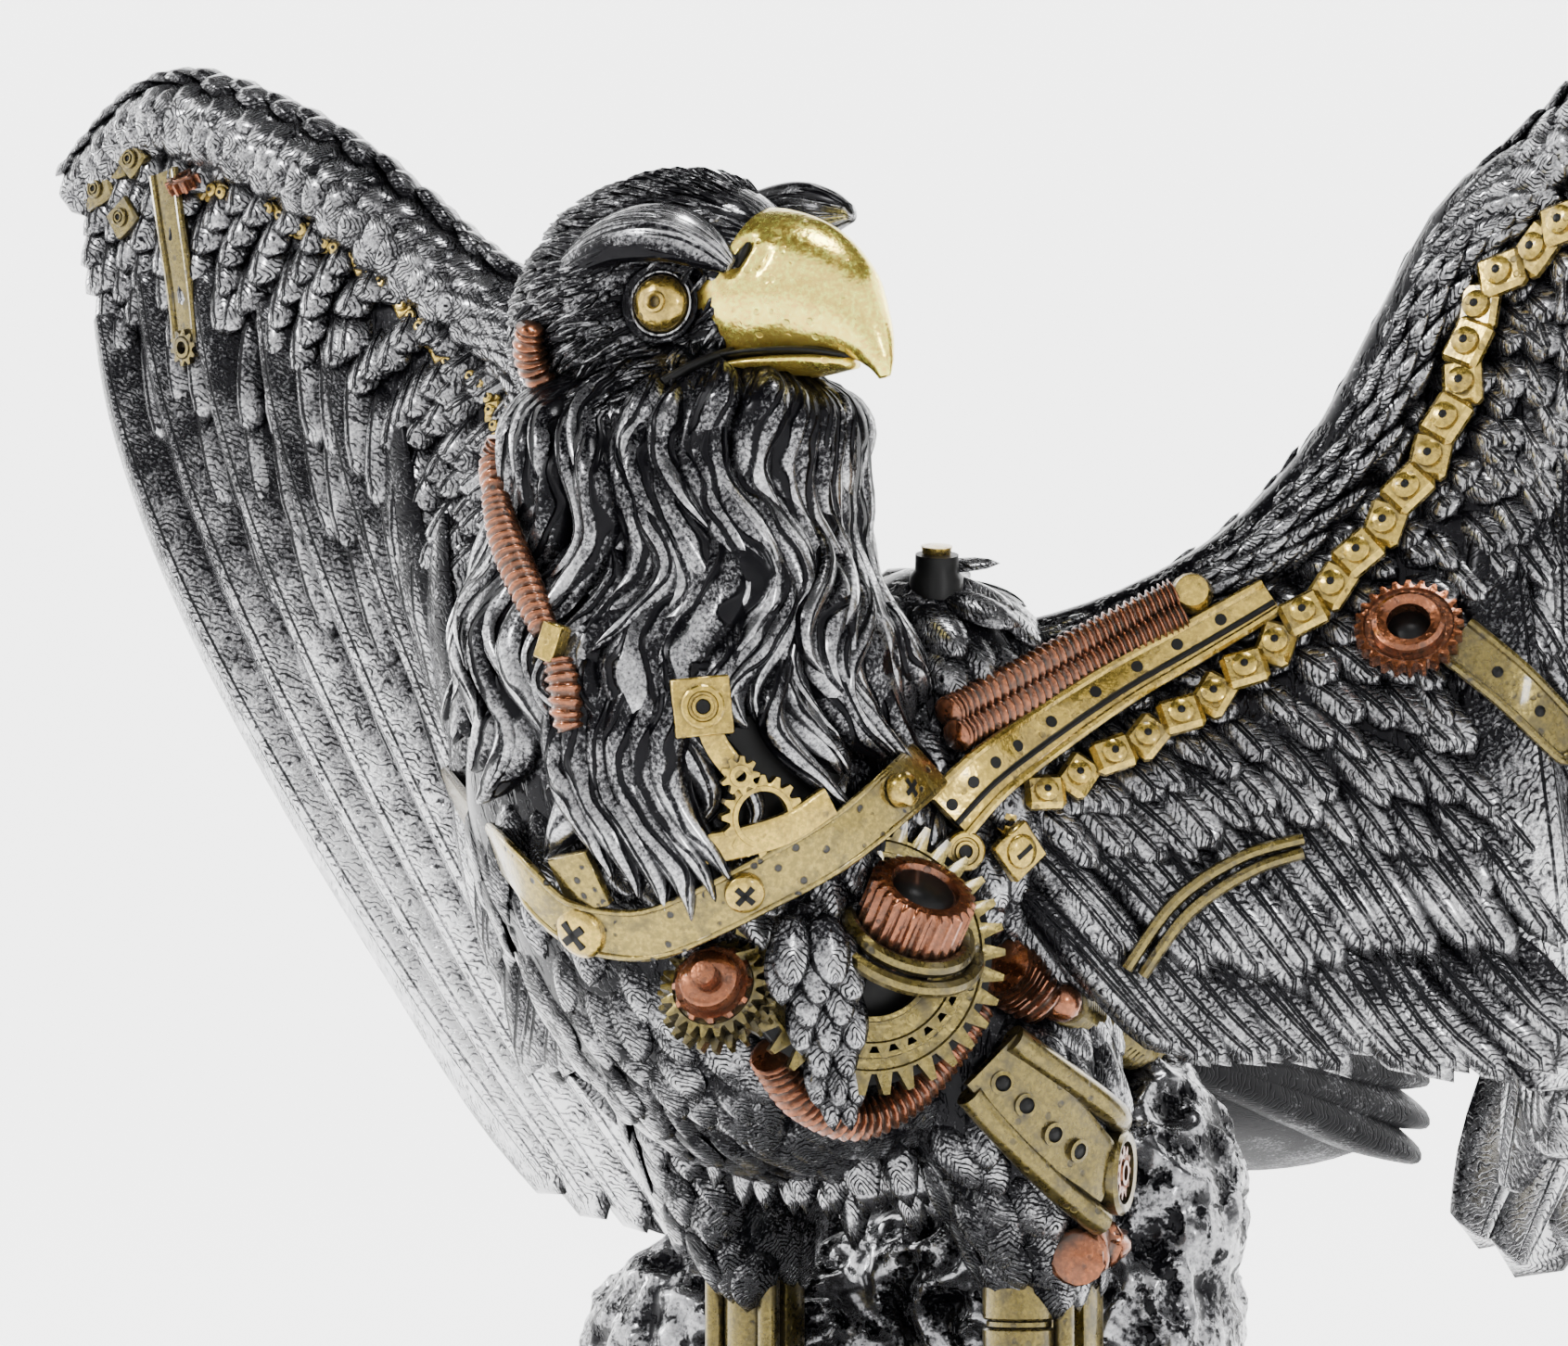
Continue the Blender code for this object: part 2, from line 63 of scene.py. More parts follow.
def through(a, b, c, d, f):
    """The smooth curve from b to c, at f between them, with a before and d after."""
    return 0.5 * (2 * b + (c - a) * f + (2 * a - 5 * b + 4 * c - d) * f * f
                  + (3 * b - a - 3 * c + d) * f ** 3)


def curve(values, t):
    """The smooth curve through evenly spaced numbers or points, at each t from 0 to 1."""
    values = np.asarray(values, float)
    t = np.asarray(t, float)
    last = len(values) - 1
    place = np.clip(t, 0, 1) * last
    i = np.minimum(place.astype(int), last - 1)
    f = place - i
    if values.ndim > 1:
        f = f[..., None]
    return through(values[np.maximum(i - 1, 0)], values[i], values[i + 1],
                   values[np.minimum(i + 2, last)], f)


def ease(t, low=0.0, high=1.0):
    t = np.clip((np.asarray(t, float) - low) / (high - low), 0, 1)
    return t * t * (3 - 2 * t)


# The eagle's main shapes, in millimetres, as its solid has them

TORSO = vec(
    (2, -64, 176, 20, 20), (0, -60, 160, 33, 30), (0, -52, 145, 37, 35), (0, -36, 129, 37, 36),
    (0, -10, 120, 33, 30), (0, 16, 118, 27, 22), (0, 40, 115, 20, 13), (0, 60, 111, 14, 7))
NECK = vec(
    (118, 0, -40, 37.5), (132, 0, -47, 38.5), (150, 0, -56, 37), (167, 2, -61, 34),
    (182, 3, -63, 29), (196, 4, -67, 25), (207, 5, -68, 23), (214, 6, -69, 17), (222, 6, -70, 11))
WING = vec(
    ((20, -18, 171), (30, -32, 162), (36, -38, 149), (42, -34, 135), (47, -22, 121)),
    ((42, -12, 174), (46, -20, 163), (50, -23, 149), (54, -20, 132), (57, -10, 114)),
    ((63, 3, 187), (66, -4, 172), (69, -8, 154), (71, -6, 132), (72, 3, 113)),
    ((80, 15, 211), (84, 8, 191), (87, 4, 166), (88, 4, 138), (88, 12, 112)),
    ((92, 23, 242), (98, 17, 215), (102, 12, 182), (105, 13, 146), (106, 24, 111)),
    ((113, 24, 255), (116, 19, 230), (115, 18, 193), (107, 30, 144), (94, 47, 96)),
    ((138, 21, 276), (137, 18, 248), (127, 22, 204), (106, 40, 138), (77, 57, 83)),
    ((161, 20, 289), (160, 19, 259), (149, 25, 212), (122, 43, 142), (86, 58, 77)),
    ((184, 19, 298), (184, 20, 266), (172, 29, 216), (141, 46, 146), (98, 57, 79)),
    ((203, 20, 288), (202, 22, 260), (190, 31, 214), (157, 46, 150), (111, 56, 86)))
HEAD_Y = -70.0


def wing_rows(hand):
    rows = WING.copy()
    if hand < 0:
        pull = 12.0 * np.sin(np.pi * np.minimum(1.0, np.arange(10) / 7.0))
        rows[:, :, 0] -= pull[:, None] * (np.arange(5) / 4.0) ** 2
        rows[:, :, 0] *= -1
    return rows


class Wing:
    """The middle sheet of a wing: u runs from shoulder to outer edge, v from leading edge to tips."""

    def __init__(self, hand):
        self.hand = hand
        self.rows = wing_rows(hand)

    def at(self, u, v):
        u, v = np.broadcast_arrays(np.asarray(u, float), np.asarray(v, float))
        lines = np.stack([curve(row, v) for row in self.rows])
        last = len(self.rows) - 1
        place = np.clip(u, 0, 1) * last
        i = np.minimum(place.astype(int), last - 1)
        f = (place - i)[..., None]
        flat = lines.reshape(last + 1, -1, 3)
        pick = np.arange(u.size)
        j = i.ravel()
        out = through(flat[np.maximum(j - 1, 0), pick], flat[j, pick], flat[j + 1, pick],
                      flat[np.minimum(j + 2, last), pick], f.reshape(-1, 1))
        return out.reshape(u.shape + (3,))

    def normal(self, u, v):
        """Towards the side that faces the front."""
        u, v = np.clip(u, 0.01, 0.99), np.clip(v, 0.01, 0.99)
        du = self.at(u + 0.01, v) - self.at(u - 0.01, v)
        dv = self.at(u, v + 0.01) - self.at(u, v - 0.01)
        n = unit(np.cross(du, dv))
        return n * np.where(n[..., 1:2] > 0, -1.0, 1.0)

    def length(self, u):
        v = np.linspace(0, 1, 9)
        line = self.at(np.full(9, float(u)), v)
        return float(np.linalg.norm(np.diff(line, axis=0), axis=1).sum())

    def find(self, x, z, out):
        """The point off the front at an x (as on the left wing) and a height, and the normal there."""
        if not hasattr(self, "grid"):
            self.uv = np.stack(np.meshgrid(np.linspace(0, 1, 121), np.linspace(0, 1, 121),
                                           indexing="ij"), -1).reshape(-1, 2)
            self.grid = self.at(self.uv[:, 0], self.uv[:, 1])
        miss = np.hypot(self.grid[:, 0] - x * self.hand, self.grid[:, 2] - z)
        miss += np.maximum(0.0, self.grid[:, 1] - 30)
        u, v = self.uv[int(miss.argmin())]
        n = self.normal(u, v)
        return self.at(u, v) + n * out, n, (u, v)


def neck_middle(z):
    heights = NECK[:, 0]
    at = np.interp(z, heights, np.arange(len(heights))) / (len(heights) - 1)
    x, y, r = (curve(NECK[:, k], at) for k in (1, 2, 3))
    return np.stack([x, y, np.asarray(z, float) + 0 * x], -1), r


THROAT_ANGLE = 2.0


def neck_point(angle, z, out, share=1.0):
    """A point on the neck at an angle from the front towards the eagle's left.

    share shortens the neck's own radius there, for rounding its ends.
    """
    middle, r = neck_middle(z)
    angle = np.asarray(angle, float)
    hollow = np.interp(z, (120, 150, 190, 200, 208, 216, 222), (0, 4, 4, 1.5, -4, -6, -2))
    r = r - hollow * np.maximum(0, np.cos(angle - THROAT_ANGLE)) ** 2
    ring = np.stack([np.sin(angle), -np.cos(angle), 0 * angle], -1)
    return middle + ring * (r * share + out)[..., None]


# Closed forms, each a sphere from pole to pole whose rings are drawn out along a path

_templates = {}


def rows_of(mesh, key="co"):
    rows = np.empty(len(mesh.vertices) * 3, "f")
    mesh.vertices.foreach_get(key, rows)
    return rows.reshape(-1, 3).astype(float)


def set_layer(mesh, name, rows):
    layer = mesh.attributes.new(name, "FLOAT_VECTOR", "POINT")
    layer.data.foreach_set("vector", rows.astype("f").ravel())


def show(name, mesh, material, node):
    """Puts a finished mesh in the scene, in place of the solid that it dresses."""
    piece = bpy.data.objects.new(name, mesh)
    bpy.context.scene.collection.objects.link(piece)
    mesh.materials.clear()
    mesh.materials.append(material)
    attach(piece, BODY)
    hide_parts(node)
    return piece


def template(around, along):
    """A sphere's mesh, the same inside out, and each point's place from pole to pole and round."""
    if (around, along) not in _templates:
        bm = bmesh.new()
        bmesh.ops.create_uvsphere(bm, u_segments=around, v_segments=along, radius=1.0)
        bmesh.ops.triangulate(bm, faces=[f for f in bm.faces if len(f.verts) > 4])
        mesh = bpy.data.meshes.new("template")
        bm.to_mesh(mesh)
        bmesh.ops.reverse_faces(bm, faces=bm.faces)
        turned = bpy.data.meshes.new("turned")
        bm.to_mesh(turned)
        bm.free()
        co = rows_of(mesh)
        s = np.arccos(np.clip(-co[:, 2], -1, 1)) / np.pi
        angle = np.arctan2(co[:, 1], co[:, 0])
        mesh.calc_loop_triangles()
        tris = np.empty(len(mesh.loop_triangles) * 3, "i")
        mesh.loop_triangles.foreach_get("vertices", tris)
        _templates[(around, along)] = (mesh, turned, s, angle, tris.reshape(-1, 3))
    return _templates[(around, along)]


class Piece:
    """One named piece of the figurine, gathered form by form, in millimetres."""

    def __init__(self, name, node="eagle", slot="antique_silver"):
        self.name, self.node, self.slot = name, node, slot
        self.bm = bmesh.new()
        self.co, self.run, self.shape = [], [], []

    def add(self, size, place, grain=(1.0, 1.0), raised=None, wrap=False):
        """place(s, angle) gives the points; grain is the form's width and length in millimetres.

        raised is how clear of dirt and painted shade a metal is, from 0 to 1. wrap runs the grain round
        the form.
        """
        mesh, turned, s, angle, tris = template(*size)
        co = place(s, angle)
        volume = np.einsum("ij,ij->i", co[tris[:, 0]], np.cross(co[tris[:, 1]], co[tris[:, 2]])).sum()
        self.bm.from_mesh(mesh if volume > 0 else turned)
        across = np.cos(angle)
        turn = (angle + np.pi / 2) % (2 * np.pi) if wrap else across
        clear = s if raised is None else raised(s, angle) if callable(raised) else 0 * s + raised
        self.co.append(co)
        self.run.append(np.stack([turn * grain[0], s * grain[1], 0 * s + rng.random()], -1))
        self.shape.append(np.stack([across, clear, np.sin(angle)], -1))

    def add_mesh(self, bm, raised=CLEAR):
        """Adds a turned or extruded part, with the same attributes left plain."""
        bmesh.ops.recalc_face_normals(bm, faces=bm.faces)
        mesh = bpy.data.meshes.new("part")
        bm.to_mesh(mesh)
        bm.free()
        co = rows_of(mesh)
        self.bm.from_mesh(mesh)
        bpy.data.meshes.remove(mesh)
        none = 0 * co[:, 0]
        self.co.append(co)
        self.run.append(np.stack([co[:, 0], co[:, 1], none + rng.random()], -1))
        self.shape.append(np.stack([none, none + raised, none + 1.0], -1))

    def finish(self, material, sharp=None):
        mesh = bpy.data.meshes.new(self.name)
        self.bm.to_mesh(mesh)
        self.bm.free()
        co = np.concatenate(self.co) * MM
        mesh.vertices.foreach_set("co", co.astype("f").ravel())
        set_layer(mesh, "run", np.concatenate(self.run))
        set_layer(mesh, "shape", np.concatenate(self.shape))
        mesh.update()
        mesh.shade_smooth()
        if sharp:
            mesh.set_sharp_from_angle(angle=math.radians(sharp))
        return show(self.name, mesh, material, self.node)


def sweep(path, widths, heights, side, ridge=0.0, flat=0.0, curl=0.0, square=1.0, ribs=0,
          rib=0.0, caps=0):
    """A place function for a bar along a path. Side is the direction of its width.

    ridge raises the middle line of the outer face, flat takes the under side away, and curl
    bends the two edges towards the under side. square makes the section a bar with round
    corners, ribs is a count of turns that stand out by rib, and caps is the count of rings,
    where the ends are flat.
    """
    path, side = np.asarray(path, float), np.asarray(side, float)

    def place(s, angle):
        at = np.clip((s - 1 / caps) / (1 - 2 / caps), 0, 1) if caps else s
        centre = curve(path, at)
        tangent = unit(curve(path, at + 0.01) - curve(path, at - 0.01))
        aside = curve(side, at) if side.ndim > 1 else np.broadcast_to(side, tangent.shape)
        across = unit(aside - tangent * (aside * tangent).sum(-1, keepdims=True))
        normal = np.cross(tangent, across)
        open_ring = (s > 1e-5) & (s < 1 - 1e-5)
        c, up = np.cos(angle) * open_ring, np.sin(angle) * open_ring
        c, up = np.sign(c) * abs(c) ** square, np.sign(up) * abs(up) ** square
        lift = np.where(up > 0, up, up * (1 - flat)) + ridge * np.exp(-(c * 4) ** 2) * (up > 0)
        swell = 1 + rib * np.sin(2 * np.pi * ribs * at + angle)
        w, h = curve(widths, at) * swell, curve(heights, at) * swell
        return centre + across * (w * c)[:, None] + normal * (h * (lift - curl * c * c))[:, None]

    return place


# Metal parts that are turned, wound or cut

def disc(piece, centre, facing, profile, around=28, teeth=0, tooth=0.0, raised=CLEAR):
    """A turned part: a profile of radius and height rows, spun about the way it faces.

    teeth cuts its widest band into that many teeth, tooth millimetres deep.
    """
    around = 4 * teeth or around
    bm = bmesh.new()
    verts = [bm.verts.new((r, 0, h)) for r, h in profile]
    for a, b in zip(verts, verts[1:]):
        bm.edges.new((a, b))
    bmesh.ops.spin(bm, geom=bm.verts[:] + bm.edges[:], cent=(0, 0, 0), axis=(0, 0, 1),
                   angle=2 * math.pi, steps=around, use_merge=True)
    bmesh.ops.remove_doubles(bm, verts=bm.verts, dist=1e-4)
    rim = max(r for r, h in profile) - 0.35
    for v in bm.verts if teeth else ():
        radius = math.hypot(v.co.x, v.co.y)
        step = round(math.atan2(v.co.y, v.co.x) / (2 * math.pi) * around) % 4
        if radius > rim and step > 1:
            v.co.x *= 1 - tooth / radius
            v.co.y *= 1 - tooth / radius
    set_down(bm, vec(*centre), unit(vec(*facing)))
    piece.add_mesh(bm, raised)


def set_down(bm, centre, facing, up=(0, 0, 1)):
    """Turns what was made about Z to face a direction, and moves it to its place."""
    z = Vector(facing)
    x = Vector(up).cross(z)
    x = x.normalized() if x.length > 1e-3 else z.orthogonal().normalized()
    turn = Matrix((x, z.cross(x), z)).transposed().to_4x4()
    bmesh.ops.transform(bm, matrix=Matrix.Translation(Vector(centre)) @ turn, verts=bm.verts)


def path_length(path):
    return float(np.linalg.norm(np.diff(np.asarray(path, float), axis=0), axis=1).sum())


def any_side(path):
    way = unit(np.asarray(path[-1], float) - np.asarray(path[0], float))
    return np.cross(way, vec(0, 0, 1) if abs(way[2]) < 0.8 else vec(1, 0, 0))


def tube(piece, path, radius, along=16, around=12):
    radii = [radius] * 4
    piece.add((around, along), sweep(path, radii, radii, any_side(path), caps=along), raised=CLEAR)


def hose(piece, path, radius, pitch=1.5, rib=0.13, around=14):
    """A ribbed hose, or a closely wound spring."""
    ribs = max(3, round(path_length(path) / pitch))
    radii = [radius] * 4 if np.ndim(radius) == 0 else radius
    # raised follows the turns, so the grooves between them take painted shade.
    piece.add((around, 6 * ribs), sweep(path, radii, radii, any_side(path), ribs=ribs, rib=rib),
              raised=lambda s, angle: 0.45 + 0.45 * np.sin(2 * np.pi * ribs * s + angle))


def strap(piece, trail, width, thick, square=0.35):
    """A flat metal band along a trail. Width and thickness are half of the band's."""
    points, normals = trail
    side = np.cross(normals, np.gradient(points, axis=0))
    along = max(14, int(path_length(points) / 1.5))
    widths = [width] * 4 if np.ndim(width) == 0 else width
    piece.add((16, along), sweep(points, widths, [thick] * 4, side, square=square, caps=along),
              raised=CLEAR)


def bar(piece, centre, facing, size, turn=0.0, up=(0, 0, 1), bevel=0.25):
    """A small block that lies on a surface, turned about the way it faces."""
    bm = bmesh.new()
    bmesh.ops.create_cube(bm, size=1.0)
    bmesh.ops.transform(bm, matrix=Matrix.Rotation(math.radians(turn), 4, "Z")
                        @ Matrix.Diagonal((*size, 1)), verts=bm.verts)
    bmesh.ops.bevel(bm, geom=bm.edges[:], offset=bevel, segments=1, profile=0.5, affect="EDGES",
                    material=-1)
    set_down(bm, centre, facing, up)
    piece.add_mesh(bm)


def washer(piece, holes, centre, facing, radius, thick=0.8):
    """A round plate with a raised rim and a hole dark with painted shade."""
    disc(piece, centre, facing, ((0, -1.5), (radius, -1.5), (radius, thick - 0.25),
                                 (radius - 0.25, thick), (radius * 0.72, thick),
                                 (radius * 0.66, thick - 0.3), (radius * 0.55, thick - 0.3),
                                 (radius * 0.5, thick + 0.1), (radius * 0.36, thick + 0.1),
                                 (radius * 0.3, thick - 0.4), (0, thick - 0.5)), around=24)
    disc(holes, centre, facing, ((0, thick - 0.6), (radius * 0.32, thick - 0.6),
                                 (radius * 0.3, thick - 0.1), (0, thick - 0.15)), around=12)


def screw(piece, holes, centre, facing, radius, turn=20.0, slots=2):
    """A domed head with a cross or a slot cut in it, the cut dark with painted shade."""
    dome = 0.3 * radius
    disc(piece, centre, facing, ((0, -1.5), (radius, -1.5), (radius, 0.3),
                                 (radius * 0.92, 0.3 + dome * 0.4), (radius * 0.7, 0.3 + dome * 0.8),
                                 (radius * 0.3, 0.3 + dome), (0, 0.3 + dome)), around=24)
    for k in range(slots):
        bar(holes, vec(*centre) + unit(vec(*facing)) * (dome - 0.1), facing,
            (radius * 1.15, radius * 0.3, 1.0), turn + 90 * k, bevel=0.05)


def gear(piece, centre, facing, radius, teeth, thick=1.2, hole=0.45, tooth=1.0):
    """A toothed ring, with a raised lip round its hole."""
    inner = radius * hole
    disc(piece, centre, facing, ((inner, -0.8), (radius, -0.8), (radius, thick - 0.1),
                                 (radius - tooth - 0.4, thick), (radius - tooth - 0.7, thick - 0.35),
                                 (inner + 0.9, thick - 0.35), (inner + 0.7, thick + 0.2),
                                 (inner, thick + 0.2), (inner, -0.8)), teeth=teeth, tooth=tooth)


def ring_stack(bands):
    """A turned profile from bands of radius, from height, to height, with small chamfers."""
    rows = [(0, bands[0][1])]
    for r, low, high in bands:
        rows += [(r - 0.3, low), (r, low + 0.3), (r, high - 0.3), (r - 0.3, high)]
    return tuple(rows + [(0, bands[-1][2])])


def edge_tubes(piece, points, normals, half, lift, radius, along):
    """A round rail down each edge of a strap whose half width is given."""
    across = unit(np.cross(normals, np.gradient(points, axis=0)))
    for edge in (-1, 1):
        tube(piece, points + across * (half * edge) + normals * lift, radius, along=along, around=8)
    return across


# Finishes

class Shade:
    """A value in a finish's node tree. Arithmetic on it adds the nodes."""

    def __init__(self, tree, socket=None):
        self.tree, self.socket = tree, socket

    def node(self, kind, inputs=None, out=0, **settings):
        made = self.tree.nodes.new(kind)
        for key, value in settings.items():
            setattr(made, key, value)
        for key, value in (inputs or {}).items():
            if isinstance(value, Shade):
                self.tree.links.new(value.socket, made.inputs[key])
            else:
                made.inputs[key].default_value = value
        return Shade(self.tree, made.outputs[out])

    def math(self, operation, *values):
        return self.node("ShaderNodeMath", dict(enumerate(values)), operation=operation)

    def __add__(self, other):
        return self.math("ADD", self, other)

    def __sub__(self, other):
        return self.math("SUBTRACT", self, other)

    def __rsub__(self, other):
        return self.math("SUBTRACT", other, self)

    def __mul__(self, other):
        return self.math("MULTIPLY", self, other)

    def __abs__(self):
        return self.math("ABSOLUTE", self)

    __radd__, __rmul__ = __add__, __mul__

    def wave(self):
        return self.math("SINE", self)

    def step(self, low, high):
        """0 below low, 1 above high, and smooth between."""
        return self.node("ShaderNodeMapRange", {0: self, 1: low, 2: high},
                         interpolation_type="SMOOTHSTEP")

    def between(self, first, second):
        """This value mixes two colours."""
        return self.node("ShaderNodeMix", {0: self, 6: first, 7: second}, out=2, data_type="RGBA")

    def parts(self):
        split = self.node("ShaderNodeSeparateXYZ", {0: self})
        outs = split.socket.node.outputs
        return [Shade(self.tree, outs[k]) for k in range(3)]

    def towards(self, way):
        return self.node("ShaderNodeVectorMath", {0: self, 1: way}, out=1, operation="DOT_PRODUCT")

    def noise(self, where, scale, detail=3.0, rough=0.55, **more):
        return self.node("ShaderNodeTexNoise", {"Vector": where, "Scale": scale, "Detail": detail,
                                                "Roughness": rough, **more})


def rgb(r, g, b):
    return (r, g, b, 1.0)


class Finish:
    """A material being made, with the coordinates its patterns use."""

    def __init__(self, name, coat=0.0, coat_roughness=0.2):
        self.material = bpy.data.materials.new(name)
        self.material.use_nodes = True
        self.tree = self.material.node_tree
        self.shader = self.tree.nodes["Principled BSDF"]
        self.shader.inputs["Coat Weight"].default_value = coat
        self.shader.inputs["Coat Roughness"].default_value = coat_roughness
        start = Shade(self.tree)
        self.place = start.node("ShaderNodeTexCoord", out=3)
        self.run = start.node("ShaderNodeAttribute", out=1, attribute_name="run")
        self.across_mm, self.along_mm, self.seed = self.run.parts()
        shape = start.node("ShaderNodeAttribute", out=1, attribute_name="shape")
        self.across, self.along, self.outer = shape.parts()
        # Painted shade, over the black wash the figure has in its hollows: hollow is 1 where other
        # surfaces close in within 3.5 mm, and the finishes darken it there.
        open_sky = start.node("ShaderNodeAmbientOcclusion", {"Distance": 3.5 * MM}, out=1, samples=1)
        self.hollow = 1 - open_sky.step(0.25, 0.85)

    def set(self, colour, metallic, roughness, height=None, depth=0.1 * MM, gloss=None):
        for key, value in (("Base Color", colour), ("Metallic", metallic),
                           ("Roughness", roughness), ("Coat Weight", gloss)):
            if value is None:
                continue
            if isinstance(value, Shade):
                self.tree.links.new(value.socket, self.shader.inputs[key])
            else:
                self.shader.inputs[key].default_value = value
        if height is not None:
            bump = height.node("ShaderNodeBump", {"Height": height, "Distance": depth,
                                                  "Strength": 1.0})
            self.tree.links.new(bump.socket, self.shader.inputs["Normal"])
        return self.material


BLACK_WASH, WASH_GLOSS = rgb(0.003, 0.003, 0.004), 0.12
SILVER = rgb(0.17, 0.17, 0.177)
# A paler silver, for the painted highlight on the thickest silver.
HIGHLIGHT_SILVER = rgb(0.66, 0.66, 0.67)


def brushed_silver(name, grooves, reach=0.5, speckle=1500.0, bright=1.0, depth=0.25 * MM,
                   edge=0.5, cover=0.0, mottle=0.8, shine=1.0):
    """Silver brushed over a black wash, on what stands up and not in the grooves, with painted highlights
    on top.
    """
    f = Finish(name, coat_roughness=0.08)
    groove = grooves(f)
    fine = f.place.noise(f.place, speckle, 2.0, 0.72)
    patch = f.place.noise(f.place, 140.0, 2.0, 0.5)
    crest = 1 - f.across * f.across * edge
    tip = f.along.step(0.1, 0.8)
    lift = crest * (tip * 0.75 + 0.25) * reach
    # held falls in the hollows, so the black shows there: painted shade over the real black wash.
    held = lift + patch * mottle + fine * 1.15 - groove * 0.45 + (cover - 1.09) - f.hollow * 0.6
    mask = held.step(-0.02, 0.34)
    # Painted highlight: the thickest silver is mixed towards a paler silver, standing for lamps shining on
    # it; bright sets how far.
    painted_highlight = (held - 0.2).step(0.0, 0.55) * (bright * 0.7)
    colour = mask.between(BLACK_WASH, painted_highlight.between(SILVER, HIGHLIGHT_SILVER))
    metallic = (mask * 0.65 + 0.3) * shine
    roughness = fine * 0.14 + (0.5 - 0.35 * shine)
    f.shader.inputs["Specular IOR Level"].default_value = WASH_GLOSS
    return f.set(colour, metallic, roughness, 1 - groove, depth, mask * (0.55 * shine))


def barbs(pitch=1.15, slant=0.85, shaft=0.0):
    """Strokes that run out and down from a feather's middle, and a shaft."""
    def grooves(f):
        warp = f.place.noise(f.place, 330.0, 1.0, 0.6)
        stroke = (f.along_mm * (1 / pitch) - abs(f.across_mm) * (slant / pitch) + warp * 3.4
                  + f.seed * 5) * (2 * math.pi)
        cut = stroke.wave().step(0.3, 1.0) * warp.step(0.34, 0.56)
        if shaft:
            middle = abs(abs(f.across_mm) - shaft)
            cut = cut.math("MAXIMUM", cut * 0.75, 1 - middle.step(0.1, 0.32))
        return cut
    return grooves


def strands(count=3.0, wander=1.2):
    """Strokes that run along a lock."""
    def grooves(f):
        warp = f.place.noise(f.place, 90.0, 1.0, 0.5)
        stroke = (f.across * count + f.along * 0.8 + warp * wander + f.seed * 3) * (2 * math.pi)
        return stroke.wave().step(0.35, 0.98)
    return grooves


def coarse_strokes(scale=420.0, stretch=(1.0, 1.0, 0.22)):
    def grooves(f):
        where = f.place.node("ShaderNodeMapping", {"Vector": f.place, "Scale": stretch})
        return f.place.noise(where, scale, 3.0, 0.6).step(0.52, 0.64)
    return grooves


def hair_strokes(width=0.8, length=5.0):
    """Short strokes along the grain of a form."""
    def grooves(f):
        where = f.run.node("ShaderNodeMapping", {"Vector": f.run,
                                                 "Scale": (1 / width, 1 / length, 1.0)})
        return f.place.noise(where, 1.0, 2.0, 0.5).step(0.47, 0.6)
    return grooves


def metal_paint(name, light, dark, pits=0.5, wear=0.5, pit_scale=420.0, rough=0.3):
    """Brass or copper paint with dark casting pits, and dirt and painted shade in its recesses."""
    f = Finish(name, coat=0.5, coat_roughness=0.08)
    cloud = f.place.noise(f.place, 260.0, 3.0, 0.65)
    fine = f.place.noise(f.place, 1300.0, 2.0, 0.6)
    cell = f.place.node("ShaderNodeTexVoronoi", {"Vector": f.place, "Scale": pit_scale,
                                                 "Randomness": 1.0})
    chance = f.place.noise(f.place, pit_scale * 0.6, 1.0, 0.4)
    pit = (1 - cell.step(0.16, 0.3)) * chance.step(0.48, 0.54) * pits
    # Darker where raised is low: painted shade in the grooves between a hose's turns; the beak's root is
    # darkened the same way.
    low = 1 - f.along.step(0.05, 0.55)
    # The mix towards the dark colour: painted shade (from raised and in the hollows), wear clouds and
    # casting pits.
    grime_and_shade = low * 0.6 + f.hollow * 0.9 + cloud.step(0.48, 0.68) * wear + pit * 1.2
    grime_and_shade = grime_and_shade.math("MINIMUM", grime_and_shade, 1.0)
    pale = rgb(*(min(1.0, c * 1.7) for c in light[:3]))
    colour = grime_and_shade.between(fine.step(0.35, 0.75).between(light, pale), dark)
    roughness = grime_and_shade * 0.25 + fine * 0.2 + rough - 0.16
    height = cloud * 1.1 - pit * 1.8
    return f.set(colour, 0.95 - grime_and_shade * 0.5, roughness, height, 0.2 * MM)


# bright in each silver below sets the strength of its painted highlight.
SCALE_SILVER = brushed_silver("scale_silver", barbs(1.0, 0.9), reach=0.5)
COVERT_SILVER = brushed_silver("covert_silver", barbs(1.2, 0.8, 0.3), reach=0.5)
FLIGHT_SILVER = brushed_silver("flight_silver", barbs(1.5, 1.1, 1.2), reach=0.8, bright=1.8,
                               depth=0.4 * MM, mottle=0.6, cover=0.08, edge=1.0)
TAIL_SILVER = brushed_silver("tail_silver", barbs(1.0, 1.0, 0.6), reach=0.5, cover=-0.22, bright=0.5,
                             shine=0.1)
MANE_SILVER = brushed_silver("mane_silver", strands(1.2, 2.4), reach=0.6, speckle=1700.0, edge=0.9,
                             cover=-0.05, bright=1.2, depth=0.4 * MM)
HAIR_SILVER = brushed_silver("hair_silver", hair_strokes(), reach=0.3, cover=0.16)
SKIN_SILVER = brushed_silver("skin_silver", coarse_strokes(), reach=0.1)
BROW_SILVER = brushed_silver("brow_silver", hair_strokes(0.8, 12.0), reach=0.75, depth=0.2 * MM,
                             edge=1.0)
ROCK_SILVER = brushed_silver("rock_silver", coarse_strokes(260.0, (1, 1, 1)), reach=0.6,
                             speckle=900.0, depth=0.4 * MM, mottle=0.5, cover=0.06, bright=0.6)
GOLD = rgb(0.36, 0.25, 0.045)
BRASS = rgb(0.20, 0.15, 0.036)
DULL_BRASS = rgb(0.105, 0.08, 0.02)
COPPER = rgb(0.19, 0.062, 0.024)
